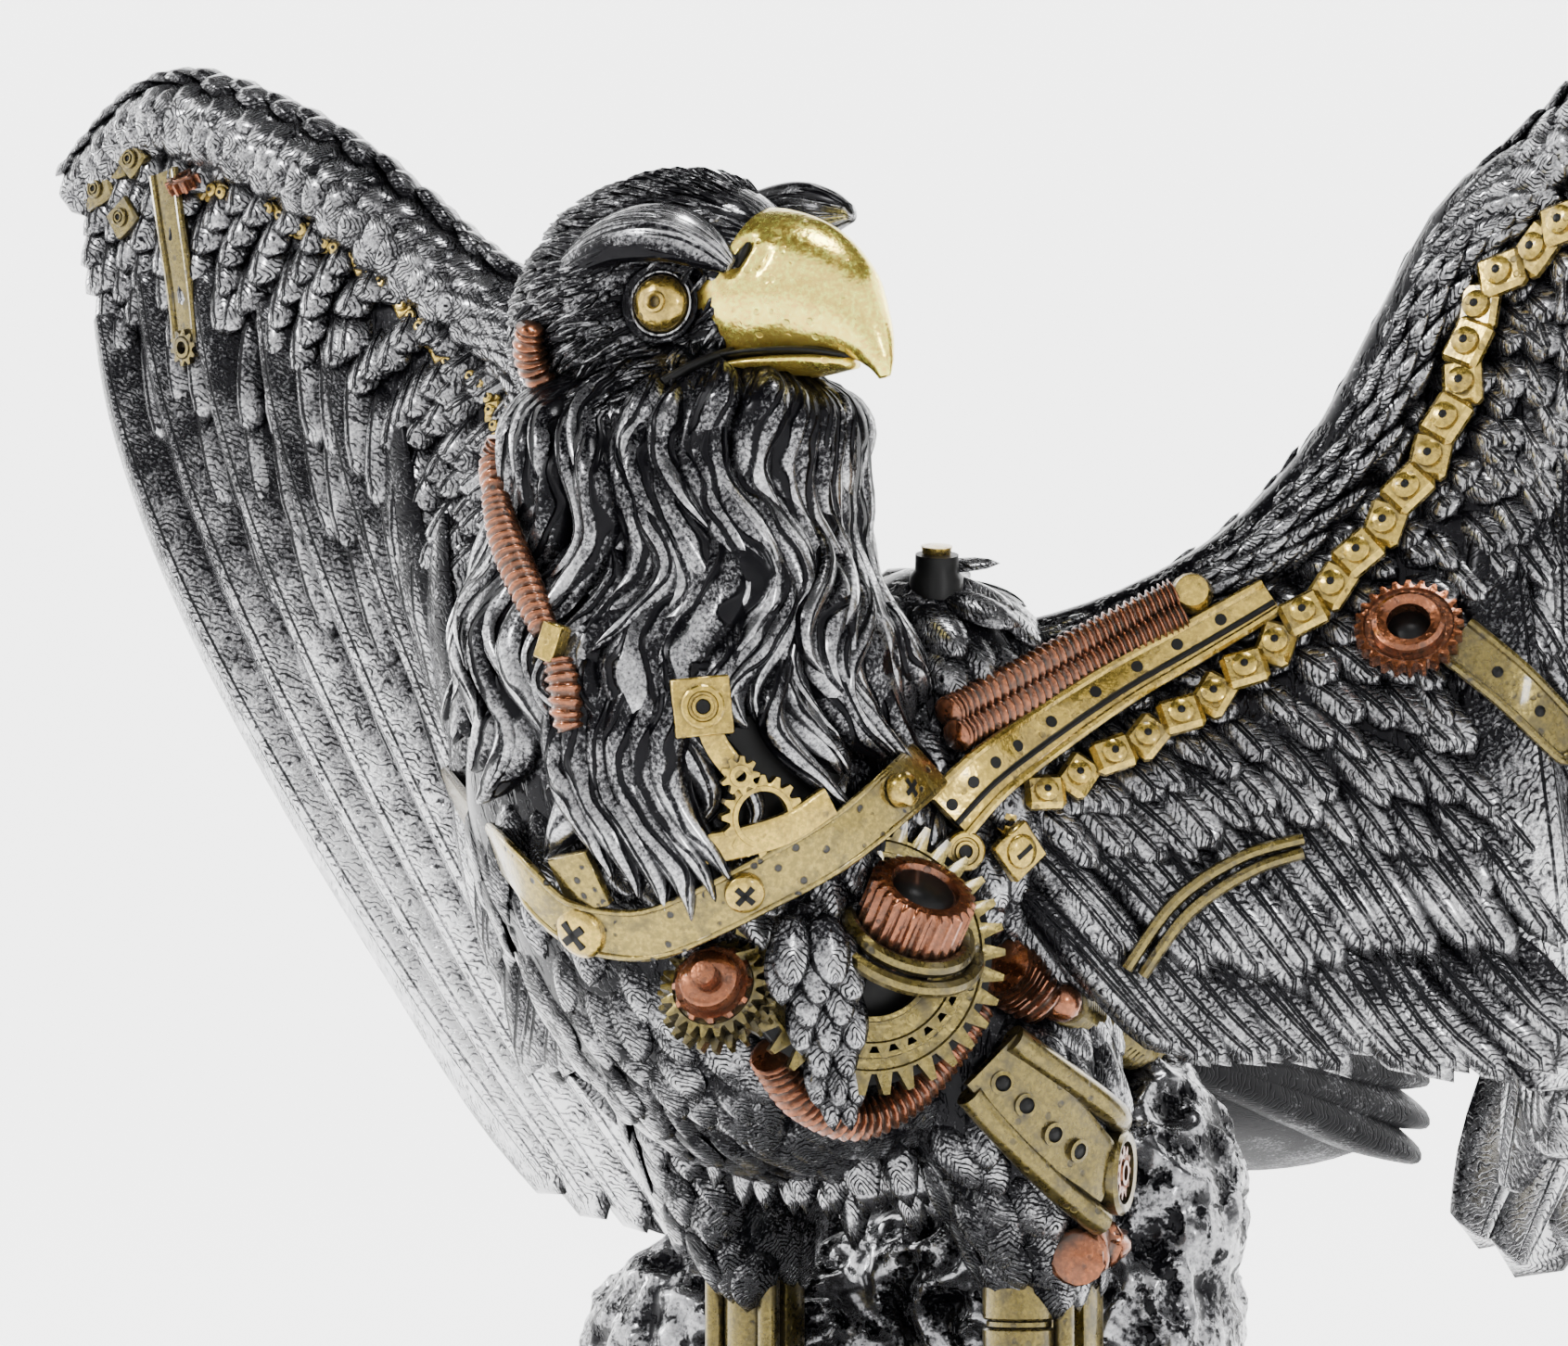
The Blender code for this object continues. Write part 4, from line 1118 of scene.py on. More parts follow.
class Skin:
    """The bare body and wings, which metalwork is laid on along lines seen in the photograph."""

    def __init__(self, hosts):
        bm = bmesh.new()
        for host in hosts:
            bm.from_mesh(host.data)
        self.tree = BVHTree.FromBMesh(bm)
        bm.free()
        camera = bpy.context.scene.camera.matrix_world
        self.eye, self.turn = camera.translation, camera.to_3x3()

    def hit(self, px, py):
        ray = self.turn @ Vector(((px - PHOTO_MIDDLE[0]) / PHOTO_FOCUS,
                                  (PHOTO_MIDDLE[1] - py) / PHOTO_FOCUS, -1.0))
        place, normal, _, _ = self.tree.ray_cast(self.eye, ray)
        if place is None:
            tries = [self.tree.find_nearest(self.eye + ray * (0.6 + 0.01 * k)) for k in range(36)]
            place, normal, _, _ = min(tries, key=lambda found: found[3])
        if normal.dot(ray) > 0:
            normal = -normal
        return np.array(place) / MM, np.array(normal)

    def seen(self, px, py, out=0.0):
        """The place behind a pixel of the photograph, and the way the surface faces there."""
        hits = [self.hit(px + dx, py + dy) for dx, dy in
                ((0, 0), (14, 0), (-14, 0), (0, 14), (0, -14))]
        place = hits[0][0]
        normal = unit(sum(n for p, n in hits if np.linalg.norm(p - place) < 7))
        ray = unit(place - np.array(self.eye) / MM)
        return place - ray * (out / max(0.4, -ray @ normal)), normal

    def trail(self, pixels, out=0.0, count=22, calm=12):
        """The line through pixels of the photograph, laid on the surface with its depth smoothed."""
        line = curve(np.array(pixels, float), np.linspace(0, 1, count))
        hits = [self.seen(x, y) for x, y in line]
        points, normals = np.array([h[0] for h in hits]), np.array([h[1] for h in hits])
        eye = np.array(self.eye) / MM
        rays = unit(points - eye)
        depths = np.linalg.norm(points - eye, axis=1)
        for _ in range(calm):
            for rows in (depths, normals):
                rows[1:-1] = (rows[:-2] + 2 * rows[1:-1] + rows[2:]) / 4
        normals = unit(normals)
        depths -= out / np.maximum(0.4, -(rays * normals).sum(-1))
        return eye + rays * depths[:, None], normals

    def on_neck(self, pixels, out, count=12):
        """The line through pixels of the photograph on the neck, out millimetres off its skin."""
        angles, heights = np.meshgrid(np.linspace(-0.9, 2.1, 181), np.linspace(145, 222, 155))
        shell = neck_point(angles.ravel(), heights.ravel(), out)
        seen = (shell * MM - np.array(self.eye)) @ np.array(self.turn)
        seen = seen[:, :2] / -seen[:, 2:] * (PHOTO_FOCUS, -PHOTO_FOCUS) + PHOTO_MIDDLE
        line = curve(np.array(pixels, float), np.linspace(0, 1, count))
        points = np.array([shell[np.hypot(*(seen - spot).T).argmin()] for spot in line])
        for _ in range(4):
            points[1:-1] = (points[:-2] + 2 * points[1:-1] + points[2:]) / 4
        return points


# Places in the photograph, in its pixels

COLLAR_STRAP = ((487, 850), (518, 892), (560, 942), (598, 984), (640, 1004), (700, 1008),
                (758, 986), (830, 950), (905, 908), (968, 856), (1000, 826))
INNER_BAND = ((748, 918), (800, 908), (850, 892), (893, 864))
BIG_SCREW, MIDDLE_SCREW, SMALL_SCREW = (625, 1005), (803, 964), (977, 851)
STRAP_TAB = (626, 950)
CLOCKWORK_HOLLOW = ((776, 800), (806, 832), (846, 862), (880, 886))
MOUTH_CORNER = ((714, 413), (738, 399), (764, 387), (790, 379))
SQUARE_PLATE, STEM, PINION, COLLAR_GEAR = (757, 762), (772, 803), (797, 836), (820, 880)
CHEST_GEAR, CHEST_WHEEL = (772, 1066), (935, 1030)
TONGUE = ((872, 985), (885, 1030), (895, 1085), (903, 1138))
CHEST_HOSE = ((830, 1135), (864, 1182), (922, 1207), (982, 1182), (1030, 1132), (1062, 1086))
DRUM = (978, 1004)
SHOULDER_COIL = ((1078, 1040), (1100, 1060), (1128, 1085))
ELBOW, FITTING = (1145, 1080), ((1150, 1082), (1180, 1100), (1238, 1136))
ROOT_WASHER, DIAMOND_NUT = (1040, 918), (1098, 918)
WING_PLATE = ((1022, 880), (1062, 838), (1110, 802), (1200, 743), (1285, 694), (1370, 645))
WING_SPRINGS = (((1021, 770), (1100, 728), (1190, 680), (1268, 640)),
                ((1030, 795), (1110, 752), (1200, 702), (1276, 660)))
FERRULE = (1285, 640)
WING_GEAR, WING_STRUT = (1520, 680), ((1570, 690), (1625, 735), (1665, 775), (1700, 812))
CURVED_RODS = (((1215, 1045), (1268, 972), (1338, 925), (1405, 905)),
               ((1232, 1052), (1282, 985), (1348, 940), (1405, 920)))
THIGH_PLATE = ((1068, 1142), (1102, 1178), (1146, 1222), (1192, 1266))
THIGH_HOLES = ((1081, 1168), (1106, 1192), (1136, 1223), (1162, 1241))
THIGH_RAILS = (((1045, 1180), (1090, 1230), (1140, 1280), (1186, 1318)),
               ((1092, 1120), (1130, 1148), (1175, 1180), (1212, 1210)))
THIGH_GEAR = (1217, 1266)
THIGH_SPRING = ((1192, 1328), (1188, 1362), (1184, 1402))
CHEEK_HOSE = ((572, 352), (571, 376), (577, 398), (595, 425))
NECK_HOSES = (((541, 474), (535, 500), (536, 532)), ((534, 536), (545, 580), (566, 632), (588, 680)),
              ((602, 712), (610, 745), (614, 790)))
NECK_CLIP = (597, 692)
KNOB = (1010, 615)
WRIST_BOXES = ((128, 176), (118, 206), (146, 232), (158, 172))
WRIST_BRACKET = ((188, 186), (198, 245), (207, 310), (214, 368))
WRIST_GEAR = (208, 198)
RIGHT_CHAIN = ((205, 195), (285, 222), (345, 258), (395, 290), (445, 345), (490, 395), (530, 440))
CHAIN = ((40, 146), (62, 163), (77, 179), (90, 198), (96, 214), (100, 228), (116, 240), (132, 254),
         (150, 266), (170, 277), (190, 285))


def make_collar(skin):
    """The pitted strap across the breast, with its screws, and the clockwork above it."""
    pitted, bright, holes = Piece("collar_strap", slot="aged_brass"), Piece(
        "collar_clockwork", slot="aged_brass"), Piece("collar_holes")
    strap(pitted, skin.trail(COLLAR_STRAP, 6.0, 40), 4.1, 0.9)
    edge_tubes(pitted, *skin.trail(COLLAR_STRAP, 6.6, 40), 3.7, 0.0, 0.55, 40)
    place, n = skin.seen(*STRAP_TAB, 5.6)
    bar(pitted, place, n, (7.6, 9.0, 1.8), 8)
    for pixel, radius, turn in ((BIG_SCREW, 4.3, 25), (MIDDLE_SCREW, 3.0, 50), (SMALL_SCREW, 2.7, 40)):
        place, n = skin.seen(*pixel, 6.8)
        screw(bright, holes, place, n, radius, turn)
    strap(bright, skin.trail(INNER_BAND, 5.8, 14), 2.3, 0.9)
    place, n = skin.seen(*SQUARE_PLATE, 7.2)
    bar(bright, place, n, (8.6, 8.6, 1.6), 6)
    washer(bright, holes, place + n * 0.9, n, 3.2)
    strap(bright, skin.trail((SQUARE_PLATE, STEM, PINION), 6.6, 8), 1.8, 0.7)
    place, n = skin.seen(*PINION, 6.8)
    gear(bright, place, n, 2.9, 9, thick=1.2, hole=0.3, tooth=0.9)
    place, n = skin.seen(*COLLAR_GEAR, 4.6)
    gear(bright, place, n, 6.2, 16, thick=1.4, hole=0.62, tooth=1.2)
    # A band of painted shade along the hollow beside the clockwork.
    strap(holes, skin.trail(CLOCKWORK_HOLLOW, 0.8, 10), 8.0, 0.5)
    pitted.finish(PITTED_BRASS, sharp=45)
    bright.finish(BRIGHT_BRASS, sharp=40)
    holes.finish(PAINTED_SHADE, sharp=40)


def make_chest_works(skin):
    """Gears, drum and hose in the hollow under the collar."""
    brass, copper = Piece("chest_gears", slot="aged_brass"), Piece("chest_copper", slot="aged_copper")
    holes = Piece("chest_hollow")
    place, n = skin.seen(*CHEST_WHEEL, 0.5)
    n = unit(n + vec(0.1, -0.4, 0.35))
    # A disc of painted shade behind the big wheel, in the hollow that it sits in.
    disc(holes, place, n, ((0, -3), (19.5, -3), (19.5, 0.4), (0, 0.4)), around=40)
    gear(brass, place + n * 0.6, n, 21.0, 34, thick=1.8, hole=0.7, tooth=3.2)
    gear(brass, place + n * 1.2, n, 15.5, 30, thick=1.6, hole=0.6, tooth=1.8)
    place, n = skin.seen(*CHEST_GEAR, 3.6)
    n = unit(n + vec(0, -0.3, 0.9))
    gear(brass, place, n, 8.2, 22, thick=1.6, hole=0.5, tooth=1.5)
    gear(brass, place - n * 2.4, n, 9.4, 24, thick=1.4, hole=0.6, tooth=1.6)
    disc(copper, place, n, ((0, -2), (6.0, -2), (6.2, 2.0), (5.6, 2.4), (4.6, 2.2), (4.4, 4.4),
                            (3.8, 4.8), (2.0, 4.6), (1.8, 7.0), (0, 7.2)), teeth=12, tooth=0.9)
    place, n = skin.seen(*DRUM, 3.6)
    n = unit(n + vec(-0.25, -0.1, 1.1))
    for radius, low, thick in ((11.6, -1.6, 1.3), (9.4, 0.4, 1.3)):
        ring = [(radius + thick * math.cos(a), low + thick * math.sin(a))
                for a in np.linspace(0, 2 * math.pi, 9)]
        disc(brass, place, n, ring, around=40)
    disc(copper, place, n, ((0, -2), (8.2, -2), (8.2, 8.0), (7.0, 8.6), (5.4, 8.6), (5.0, 7.6), (0, 7.6)),
         teeth=26, tooth=0.9)
    disc(holes, place, n, ((0, 7.4), (4.8, 7.4), (4.8, 7.8), (0, 7.8)), around=20)
    tongue = Piece("breast_feathers")
    points, normals = skin.trail(TONGUE, 6.5, 7, calm=20)
    for k in range(6, -1, -1):
        for side in (-1, 0, 1) if k % 2 else (-0.55, 0.55):
            aside = unit(np.cross(normals[k], vec(0, 0, 1))) * (side * (4.2 - 0.42 * k))
            start = points[k] + aside - normals[k] * (0.5 * abs(side))
            way = unit(vec(0, 0.1, -1) + aside * 0.05)
            line = [start + way * (11 * s) + normals[k] * (1.5 * s - 0.4) for s in QUARTERS]
            add_feather(tongue, line, normals[k], 3.3 - 0.2 * k, 0.6, tip=LEAF_TIP, ridge=0.6, curl=0.9)
    tongue.finish(SCALE_SILVER)
    hose(copper, skin.trail(CHEST_HOSE, 4.4)[0], [3.1, 3.2, 2.9, 2.2, 1.6], pitch=1.4, rib=0.16)
    coil = skin.trail(SHOULDER_COIL, 3.6, 8)[0]
    hose(copper, coil, [4.2, 4.8, 4.4, 3.4], pitch=1.5)
    place, n = skin.seen(*ELBOW, 3.6)
    disc(copper, place, n, ((0, -3), (2.6, -2.4), (3.4, 0), (2.8, 1.9), (1.4, 2.9), (0, 3.1)), around=20)
    fitting = skin.trail(FITTING, 3.4, 8)[0]
    hose(brass, fitting, [3.0, 3.4, 4.0, 3.8], pitch=2.2, rib=0.16)
    way = unit(fitting[-1] - fitting[0])
    disc(brass, fitting[4], way, ((0, -1.6), (4.4, -1.6), (4.4, 1.6), (0, 1.6)), around=6)
    brass.finish(AGED_BRASS, sharp=35)
    copper.finish(AGED_COPPER, sharp=45)
    holes.finish(PAINTED_SHADE)


def make_wing_plate(skin):
    """The perforated plate, springs, nut and washer along the left shoulder."""
    brass, copper = Piece("shoulder_plate", slot="aged_brass"), Piece(
        "shoulder_springs", slot="aged_copper")
    holes = Piece("shoulder_holes")
    points, normals = skin.trail(WING_PLATE, 4.0, 40, calm=60)
    strap(brass, (points, normals), [4.2, 4.0, 3.6, 2.6], 0.9)
    width = np.linspace(4.1, 2.5, 40)[:, None]
    across = edge_tubes(brass, points, normals, width, 0.6, 0.8, 40)
    tube(holes, points - across * width * 0.42 + normals * 0.75, 0.55, along=40, around=8)
    for k in range(9):
        spot = 2 + 4 * k
        place, n = points[spot] + across[spot] * 0.8 + normals[spot] * 0.6, normals[spot]
        disc(holes, place, n, ((0, -0.5), (0.95, -0.5), (0.95, 0.42), (0, 0.46)), around=12)
    for line in WING_SPRINGS:
        hose(copper, skin.trail(line, 3.4, calm=40)[0], 2.3, pitch=1.35, rib=0.17)
    place, n = skin.seen(*FERRULE, 3.0)
    disc(brass, place, n, ((0, -3), (2.8, -2.4), (3.4, 0), (2.6, 1.8), (0, 2.2)), around=16)
    place, n = skin.seen(*ROOT_WASHER, 4.6)
    washer(brass, holes, place, n, 3.1)
    place, n = skin.seen(*DIAMOND_NUT, 4.4)
    bar(brass, place, n, (7.0, 7.0, 2.0), 42, bevel=0.35)
    screw(brass, holes, place + n * 0.8, n, 2.7, 40, slots=1)
    place, n = skin.seen(*KNOB, 2.0)
    disc(holes, place, vec(0.2, -0.25, 1), ((0, -6), (4.4, -6), (4.2, -1), (3.4, 0), (3.4, 2.5), (0, 2.6)),
         around=20)
    disc(brass, place + vec(0, 0, 2.4), vec(0.2, -0.25, 1), ((0, 0), (2.2, 0), (2.5, 1.4), (0, 1.6)),
         around=16)
    brass.finish(BRIGHT_BRASS, sharp=40)
    copper.finish(AGED_COPPER)
    holes.finish(PAINTED_SHADE, sharp=40)


def make_chain(skin, wing, side_name):
    """Block links with a bolt each, along the seam under the wing's arm."""
    brass, holes = Piece(f"{side_name}_wing_chain", slot="aged_brass"), Piece(
        f"{side_name}_chain_holes")
    scale = 1.0 if wing.hand > 0 else 0.5
    line = CHAIN
    if wing.hand < 0:
        seen = [skin.seen(*pixel)[0] for pixel in RIGHT_CHAIN]
        line = CHAIN[:4] + tuple((abs(p[0]), p[2]) for p in reversed(seen))
    found = [wing.find(x, z, 4.6 * scale) for x, z in line]
    fine = np.linspace(0, 1, 200)
    line, facings = curve([f[0] for f in found], fine), curve([f[1] for f in found], fine)
    gone = np.concatenate([[0], np.cumsum(np.linalg.norm(np.diff(line, axis=0), axis=1))])
    stops = np.arange(0, gone[-1], 6.4 * scale)
    places = np.stack([np.interp(stops, gone, line[:, k]) for k in range(3)], -1)
    normals = unit(np.stack([np.interp(stops, gone, facings[:, k]) for k in range(3)], -1))
    ways = unit(np.gradient(places, axis=0))
    for k, (place, n, way) in enumerate(zip(places, normals, ways)):
        size = (5.4 + 2.4 * k / len(stops)) * scale
        lift = 0.9 * scale * (k % 2)
        turn = 22 * (-1) ** k + 6 * rng.normal()
        bar(brass, place + n * lift, n, (size * 1.2, size, 2.6 * scale), turn, up=np.cross(n, way),
            bevel=0.8 * scale)
        disc(brass, place + n * (lift + 1.3 * scale), n,
             ((0, -1), (size * 0.36, -1), (size * 0.34, 0.6), (size * 0.22, 0.95), (0, 0.9)), around=14)
        disc(holes, place + n * (lift + 1.3 * scale), n,
             ((0, 0), (size * 0.11, 0), (size * 0.11, 1.05), (0, 1.05)), around=8)
    brass.finish(BRIGHT_BRASS, sharp=35)
    holes.finish(PAINTED_SHADE)


def make_wing_works(skin, wing, side_name):
    """Ring gear and struts on the wing, by the photo on the left wing and by the wrist on the right."""
    brass = Piece(f"{side_name}_wing_struts", slot="aged_brass")
    copper = Piece(f"{side_name}_wing_gear", slot="aged_copper")
    holes = Piece(f"{side_name}_wing_holes")
    if wing.hand > 0:
        place, n = skin.seen(*WING_GEAR, 4.4)
        n = unit(n + vec(0, 0, 0.45))
        gear(copper, place, n, 8.4, 24, thick=1.8, hole=0.42, tooth=1.0)
        disc(copper, place, n, ((3.4, -0.5), (5.6, -0.5), (5.6, 2.5), (4.9, 2.9), (3.4, 2.4), (3.4, -0.5)),
             around=28)
        disc(holes, place, n, ((0, -1.5), (3.6, -1.5), (3.6, 0.4), (0, 0.4)), around=24)
        points, normals = skin.trail(WING_STRUT, 3.8, 16)
        strap(brass, (points, normals), 3.6, 0.9)
        edge_tubes(brass, points, normals, 3.4, 0.7, 0.8, 16)
        for k in (4, 9, 14):
            disc(holes, points[k], normals[k], ((0, -0.5), (0.9, -0.5), (0.9, 1.1), (0, 1.2)), around=10)
        for line in CURVED_RODS:
            tube(brass, skin.trail(line, 3.9, 14)[0], 1.0, along=20, around=8)

    def on_wing(pixel, out):
        place, _ = skin.seen(*pixel)
        return wing.find(abs(place[0]), place[2], out)[:2]

    for k, pixel in enumerate(WRIST_BOXES):
        place, n = on_wing(pixel, 3.6 + 0.4 * k)
        bar(brass, place, n, (9.0 - k, 7.4 - 0.6 * k, 2.8), 8 + 12 * k, bevel=0.5)
        washer(brass, holes, place + n * 1.3, n, 1.9)
    bracket = [on_wing(pixel, 4.4) for pixel in WRIST_BRACKET]
    spots = np.linspace(0, 1, 14)
    points, normals = (curve([b[j] for b in bracket], spots) for j in (0, 1))
    normals = unit(normals)
    strap(brass, (points, normals), 3.1, 1.0)
    edge_tubes(brass, points, normals, 2.9, 0.8, 0.8, 14)
    gear(brass, points[-1] + normals[-1] * 0.4, normals[-1], 3.6, 10, thick=1.6, hole=0.35, tooth=0.9)
    place, n = on_wing(WRIST_GEAR, 4.8)
    n = unit(n + vec(0, 0, 1.2))
    gear(copper, place, n, 3.8, 12, thick=1.6, hole=0.35, tooth=0.9)
    brass.finish(AGED_BRASS, sharp=40)
    copper.finish(AGED_COPPER, sharp=40)
    holes.finish(PAINTED_SHADE)


def make_thigh_plate(skin):
    """The perforated plate on the left thigh, with its rails, ring, gear and spring."""
    brass, copper = Piece("thigh_plate", slot="aged_brass"), Piece("thigh_copper", slot="aged_copper")
    holes = Piece("thigh_holes")
    points, normals = skin.trail(THIGH_PLATE, 3.0, 16)
    strap(brass, (points, normals), [5.6, 5.8, 5.6, 4.8], 0.9)
    for line in THIGH_RAILS:
        tube(brass, skin.trail(line, 3.4, 12)[0], 2.3, along=24, around=14)
    for pixel in THIGH_HOLES:
        place, n = skin.seen(*pixel, 3.6)
        disc(holes, place, n, ((0, -0.5), (1.4, -0.5), (1.4, 0.5), (0, 0.55)), around=14)
        disc(brass, place, n, ((1.3, -0.5), (1.9, -0.5), (1.9, 0.5), (1.3, 0.6), (1.3, -0.5)), around=18)
    place, n = skin.seen(*THIGH_GEAR, 3.6)
    n = unit(n + vec(0.8, 0, 0))
    disc(brass, place, n, ((4.6, -4), (6.6, -4), (6.8, 1.6), (6.2, 2.2), (5.0, 2.0), (4.6, -4)), around=30)
    disc(holes, place, n, ((0, -3), (5, -3), (5, 0), (0, 0)), around=24)
    gear(copper, place + n * 0.4, n, 4.3, 11, thick=1.4, hole=0.3, tooth=1.0)
    hose(copper, skin.trail(THIGH_SPRING, 2.0, 8)[0], 4.0, pitch=1.9, rib=0.16)
    brass.finish(AGED_BRASS, sharp=40)
    copper.finish(AGED_COPPER, sharp=45)
    holes.finish(PAINTED_SHADE)


def make_neck_hose(skin):
    copper, brass = Piece("neck_hose", slot="aged_copper"), Piece("neck_clip", slot="aged_brass")
    hose(copper, skin.trail(CHEEK_HOSE, 2.0, 12)[0], [2.0, 2.4, 2.4, 1.8], pitch=1.5)
    for line, out in zip(NECK_HOSES, (4.5, 6.4, 6.4)):
        hose(copper, skin.on_neck(line, out), [2.0, 2.5, 2.5, 2.0], pitch=1.5)
    place = skin.on_neck((NECK_CLIP, NECK_CLIP), 7.5)[0]
    n = unit((place - neck_middle(place[2])[0]) * vec(1, 1, 0))
    bar(brass, place, n, (3.4, 5.6, 3.2), -20)
    copper.finish(AGED_COPPER)
    brass.finish(BRIGHT_BRASS, sharp=40)


# Legs, feet and rock

def make_legs():
    brass = Piece("leg_struts", slot="aged_brass")
    for x, y, low, tall, r in ((-28, -4, 36, 60, 4.6), (27.5, -9, 40, 44, 5.8)):
        disc(brass, (x, y, low), (0, 0, 1),
             ring_stack(((r, 0, tall * 0.62), (r * 0.9, tall * 0.62, tall * 0.65),
                         (r, tall * 0.65, tall))), around=36)
    for x, y, w, low, high in ((29.5, 5.5, 6.5, 38, 88), (-28, 4.5, 6.0, 38, 92)):
        bm = bmesh.new()
        bmesh.ops.create_cube(bm, size=1.0)
        bmesh.ops.transform(bm, matrix=Matrix.Translation((x, y, (low + high) / 2))
                            @ Matrix.Diagonal((w, w, high - low, 1)), verts=bm.verts)
        bmesh.ops.bevel(bm, geom=bm.edges[:], offset=0.7, segments=2, profile=0.5, affect="EDGES",
                        material=-1)
        brass.add_mesh(bm)
    for x, y in ((-22.4, -7.5), (-33.8, -6.5), (21.5, -4.0), (34.0, -6.0)):
        disc(brass, (x, y, 38), (0, 0, 1), ring_stack(((1.7, 0, 46),)), around=16)
    for x, y in ((-28, -5), (28, -5)):
        disc(brass, (x, y, 38), (0, 0, 1), ring_stack(((8.2, 0, 2.4), (6.6, 2.4, 5.0), (7.4, 5.0, 8.0))),
             around=30)
    brass.finish(AGED_BRASS, sharp=40)

    def arch(share):
        """How high a toe's middle stands at a share of its reach."""
        return 1.8 * math.sin(math.pi * min(1, share)) - 3.2 * max(0, share - 0.5)

    toes, claws = Piece("toes"), Piece("claws")
    for hand in (-1, 1):
        ankle = vec(hand * 28, -6, 39)
        for turn in (-0.62, 0.0, 0.62, math.pi):
            ahead = vec(math.sin(turn) * hand, -math.cos(turn), 0)
            reach = 20 if turn == math.pi else 30
            start, sole = ankle + ahead * 2, vec(0, 0, 1)
            for k in range(4):
                a, b = reach * (0.08 + 0.2 * k), reach * (0.08 + 0.2 * (k + 1.15))
                line = [start + ahead * a + sole * arch(a / reach),
                        start + ahead * (a + b) / 2 + sole * (arch((a + b) / 2 / reach) + 0.4),
                        start + ahead * b + sole * arch(b / reach)]
                w = 4.6 - 0.45 * k
                toes.add((12, 8), sweep(line, [w * 0.75, w, w * 0.75], [w * 0.7, w * 0.95, w * 0.7],
                                        np.cross(ahead, sole)), grain=(w, b - a))
            tip = [start + ahead * reach * 0.82 + sole * arch(0.8),
                   start + ahead * reach * 1.0 + sole * 0.4, start + ahead * (reach + 4.0) - sole * 2.8,
                   start + ahead * (reach + 4.6) - sole * 6.0]
            claws.add((12, 12), sweep(tip, [3.0, 2.5, 1.5, 0.2], [3.0, 2.5, 1.5, 0.2],
                                      np.cross(ahead, sole)), grain=(3, 14))
    toes.finish(SCALE_SILVER)
    claws.finish(BROW_SILVER)


def make_rock():
    """The solid rock's own shape, roughened into crags."""
    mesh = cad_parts["rock_plinth"].data.copy()
    bm = bmesh.new()
    bm.from_mesh(mesh)
    bmesh.ops.remove_doubles(bm, verts=bm.verts, dist=1e-6)
    bm.to_mesh(mesh)
    bm.free()
    rough = bpy.data.objects.new("rough_rock", mesh)
    bpy.context.scene.collection.objects.link(rough)
    skin = rough.modifiers.new("skin", "REMESH")
    skin.mode, skin.voxel_size = "VOXEL", 1.05 * MM
    made = bpy.data.meshes.new_from_object(
        rough.evaluated_get(bpy.context.evaluated_depsgraph_get()))
    bpy.data.objects.remove(rough)
    co, normal = rows_of(made), rows_of(made, "normal")
    crag = np.array([crag_height(p) for p in co])
    free = ease(co[:, 2], 0.0, 5 * MM)
    co = co + normal * (crag * free - 0.55 * MM * free)[:, None]
    low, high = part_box("rock_plinth")
    co = np.clip(co, np.array(low), np.array(high))
    made.vertices.foreach_set("co", co.astype("f").ravel())
    raised = np.clip(0.5 + crag / (3.0 * MM), 0, 1)
    set_layer(made, "shape", np.stack([0 * raised, raised, 0 * raised + 1], -1))
    made.update()
    made.shade_smooth()
    show("rock", made, ROCK_SILVER, "rock_plinth")


def crag_height(p):
    q = Vector(p)
    facet = noise.cell_vector(q * 70.0).length
    ridged = 1.0 - abs(noise.noise(q * 105.0)) * 2.0
    return ((ridged - 0.55) * 2.2 + (noise.noise(q * 330.0)) * 0.8 + (facet - 0.9) * 0.5) * MM


# The studio

CAMERA_TURN, CAMERA_RISE = math.radians(35), math.radians(-5)
CAMERA_AIM = Vector((-0.01632, -0.01143, 0.17358))
CAMERA_AWAY = 0.73846
CAMERA_LENS = 102.19


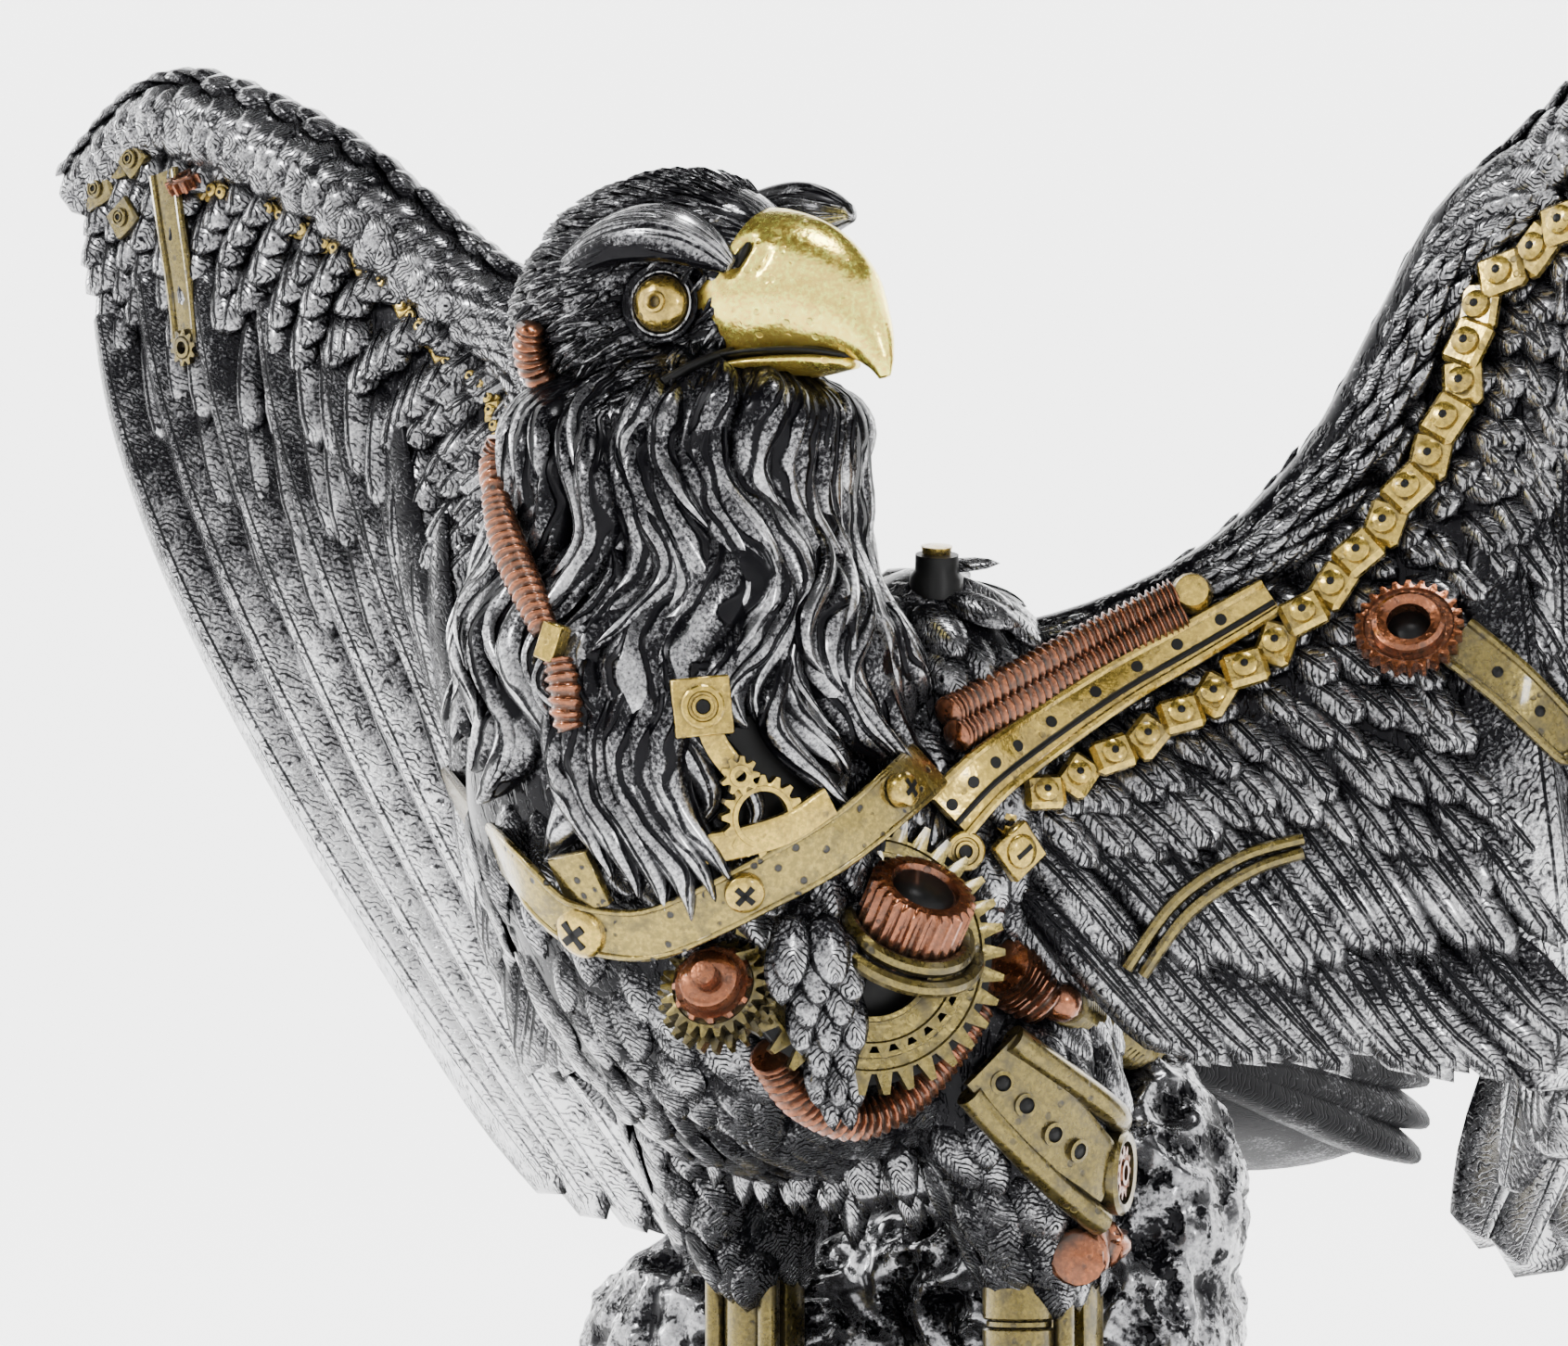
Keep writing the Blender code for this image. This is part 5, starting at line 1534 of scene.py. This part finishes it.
def make_studio():
    stage = bmesh.new()
    flat, bend, top, gap = 1.5, 1.3, 3.0, 0.0002
    profile = [(0.0, 0.0), (flat, 0.0)]
    profile += [(flat + bend * math.sin(a), bend - bend * math.cos(a))
                for a in np.linspace(0.1, math.pi / 2, 12)]
    profile += [(flat + bend, top)]
    verts = [stage.verts.new((r, 0, h - gap)) for r, h in profile]
    for a, b in zip(verts, verts[1:]):
        stage.edges.new((a, b))
    bmesh.ops.spin(stage, geom=stage.verts[:] + stage.edges[:], cent=(0, 0, 0), axis=(0, 0, 1),
                   angle=2 * math.pi, steps=64, use_merge=True)
    bmesh.ops.remove_doubles(stage, verts=stage.verts, dist=1e-5)
    bmesh.ops.recalc_face_normals(stage, faces=stage.faces)
    bmesh.ops.reverse_faces(stage, faces=stage.faces)
    mesh = bpy.data.meshes.new("studio_sweep")
    stage.to_mesh(mesh)
    stage.free()
    mesh.shade_smooth()
    paper = bpy.data.materials.new("glowing_paper")
    paper.use_nodes = True
    shader = paper.node_tree.nodes["Principled BSDF"]
    shader.inputs["Base Color"].default_value = rgb(0.85, 0.85, 0.85)
    shader.inputs["Roughness"].default_value = 0.9
    start = Shade(paper.node_tree)
    # Painted light: the sweep glows though it is no lamp, brightly on its far side behind the eagle and
    # only dimly in front of it.
    away = (-math.sin(CAMERA_TURN), math.cos(CAMERA_TURN), 0.0)
    behind = start.node("ShaderNodeTexCoord", out=3).towards(away)
    glow = behind.step(-1.4, 0.7).between(rgb(0.04, 0.04, 0.04), rgb(1, 1, 1))
    paper.node_tree.links.new(glow.socket, shader.inputs["Emission Color"])
    shader.inputs["Emission Strength"].default_value = 2.6
    paper.cycles.emission_sampling = "NONE"
    mesh.materials.append(paper)
    sweep_object = bpy.data.objects.new("studio_sweep", mesh)
    bpy.context.scene.collection.objects.link(sweep_object)

    world = bpy.data.worlds.new("studio_light")
    world.use_nodes = True
    world.node_tree.nodes["Background"].inputs[0].default_value = rgb(1, 1, 1)
    world.node_tree.nodes["Background"].inputs[1].default_value = 0.04
    bpy.context.scene.world = world
    for name, place, size, power in (
            ("key", (-0.45, -1.0, 0.95), 0.18, 8.0),
            ("top", (0.2, -0.1, 1.25), 0.22, 5.0),
            ("side", (1.15, -0.5, 0.35), 0.15, 3.8),
            ("far_side", (-1.2, 0.0, 0.45), 0.18, 3.0),
            ("back", (0.2, 1.2, 0.8), 0.5, 2.5)):
        light = bpy.data.lights.new(name, "AREA")
        light.size, light.energy = size, power
        lamp = bpy.data.objects.new(name, light)
        lamp.location = place
        lamp.rotation_euler = (Vector(place) - Vector((0, 0, 0.17))).to_track_quat("Z", "Y").to_euler()
        bpy.context.scene.collection.objects.link(lamp)


def make_camera():
    """The photo's view: from a little below the breast, 35 degrees round to the eagle's left."""
    turn, rise = CAMERA_TURN, CAMERA_RISE
    right = Vector((math.cos(turn), math.sin(turn), 0))
    back = Vector((math.sin(turn) * math.cos(rise), -math.cos(turn) * math.cos(rise), math.sin(rise)))
    up = back.cross(right)
    data = bpy.data.cameras.new("photo_view")
    data.sensor_width, data.lens, data.clip_start = 36.0, CAMERA_LENS, 0.01
    camera = bpy.data.objects.new("photo_view", data)
    turned = Matrix((right, up, back)).transposed().to_4x4()
    camera.matrix_world = Matrix.Translation(CAMERA_AIM + back * CAMERA_AWAY) @ turned
    bpy.context.scene.collection.objects.link(camera)
    bpy.context.scene.camera = camera


make_camera()
make_studio()
wings = (Wing(1), "left"), (Wing(-1), "right")
body = make_body()
cores = [make_wing_core(*each) for each in wings]
head = make_head(body)
skin = Skin([body, head, *cores])
for each in wings:
    make_wing_front(*each)
    make_wing_back(*each)
    make_wing_arm(*each)
    make_chain(skin, *each)
    make_wing_works(skin, *each)
make_body_feathers(body)
make_mane()
make_tail()
make_face_metal(skin)
make_neck_hose(skin)
make_collar(skin)
make_chest_works(skin)
make_wing_plate(skin)
make_thigh_plate(skin)
make_legs()
make_rock()
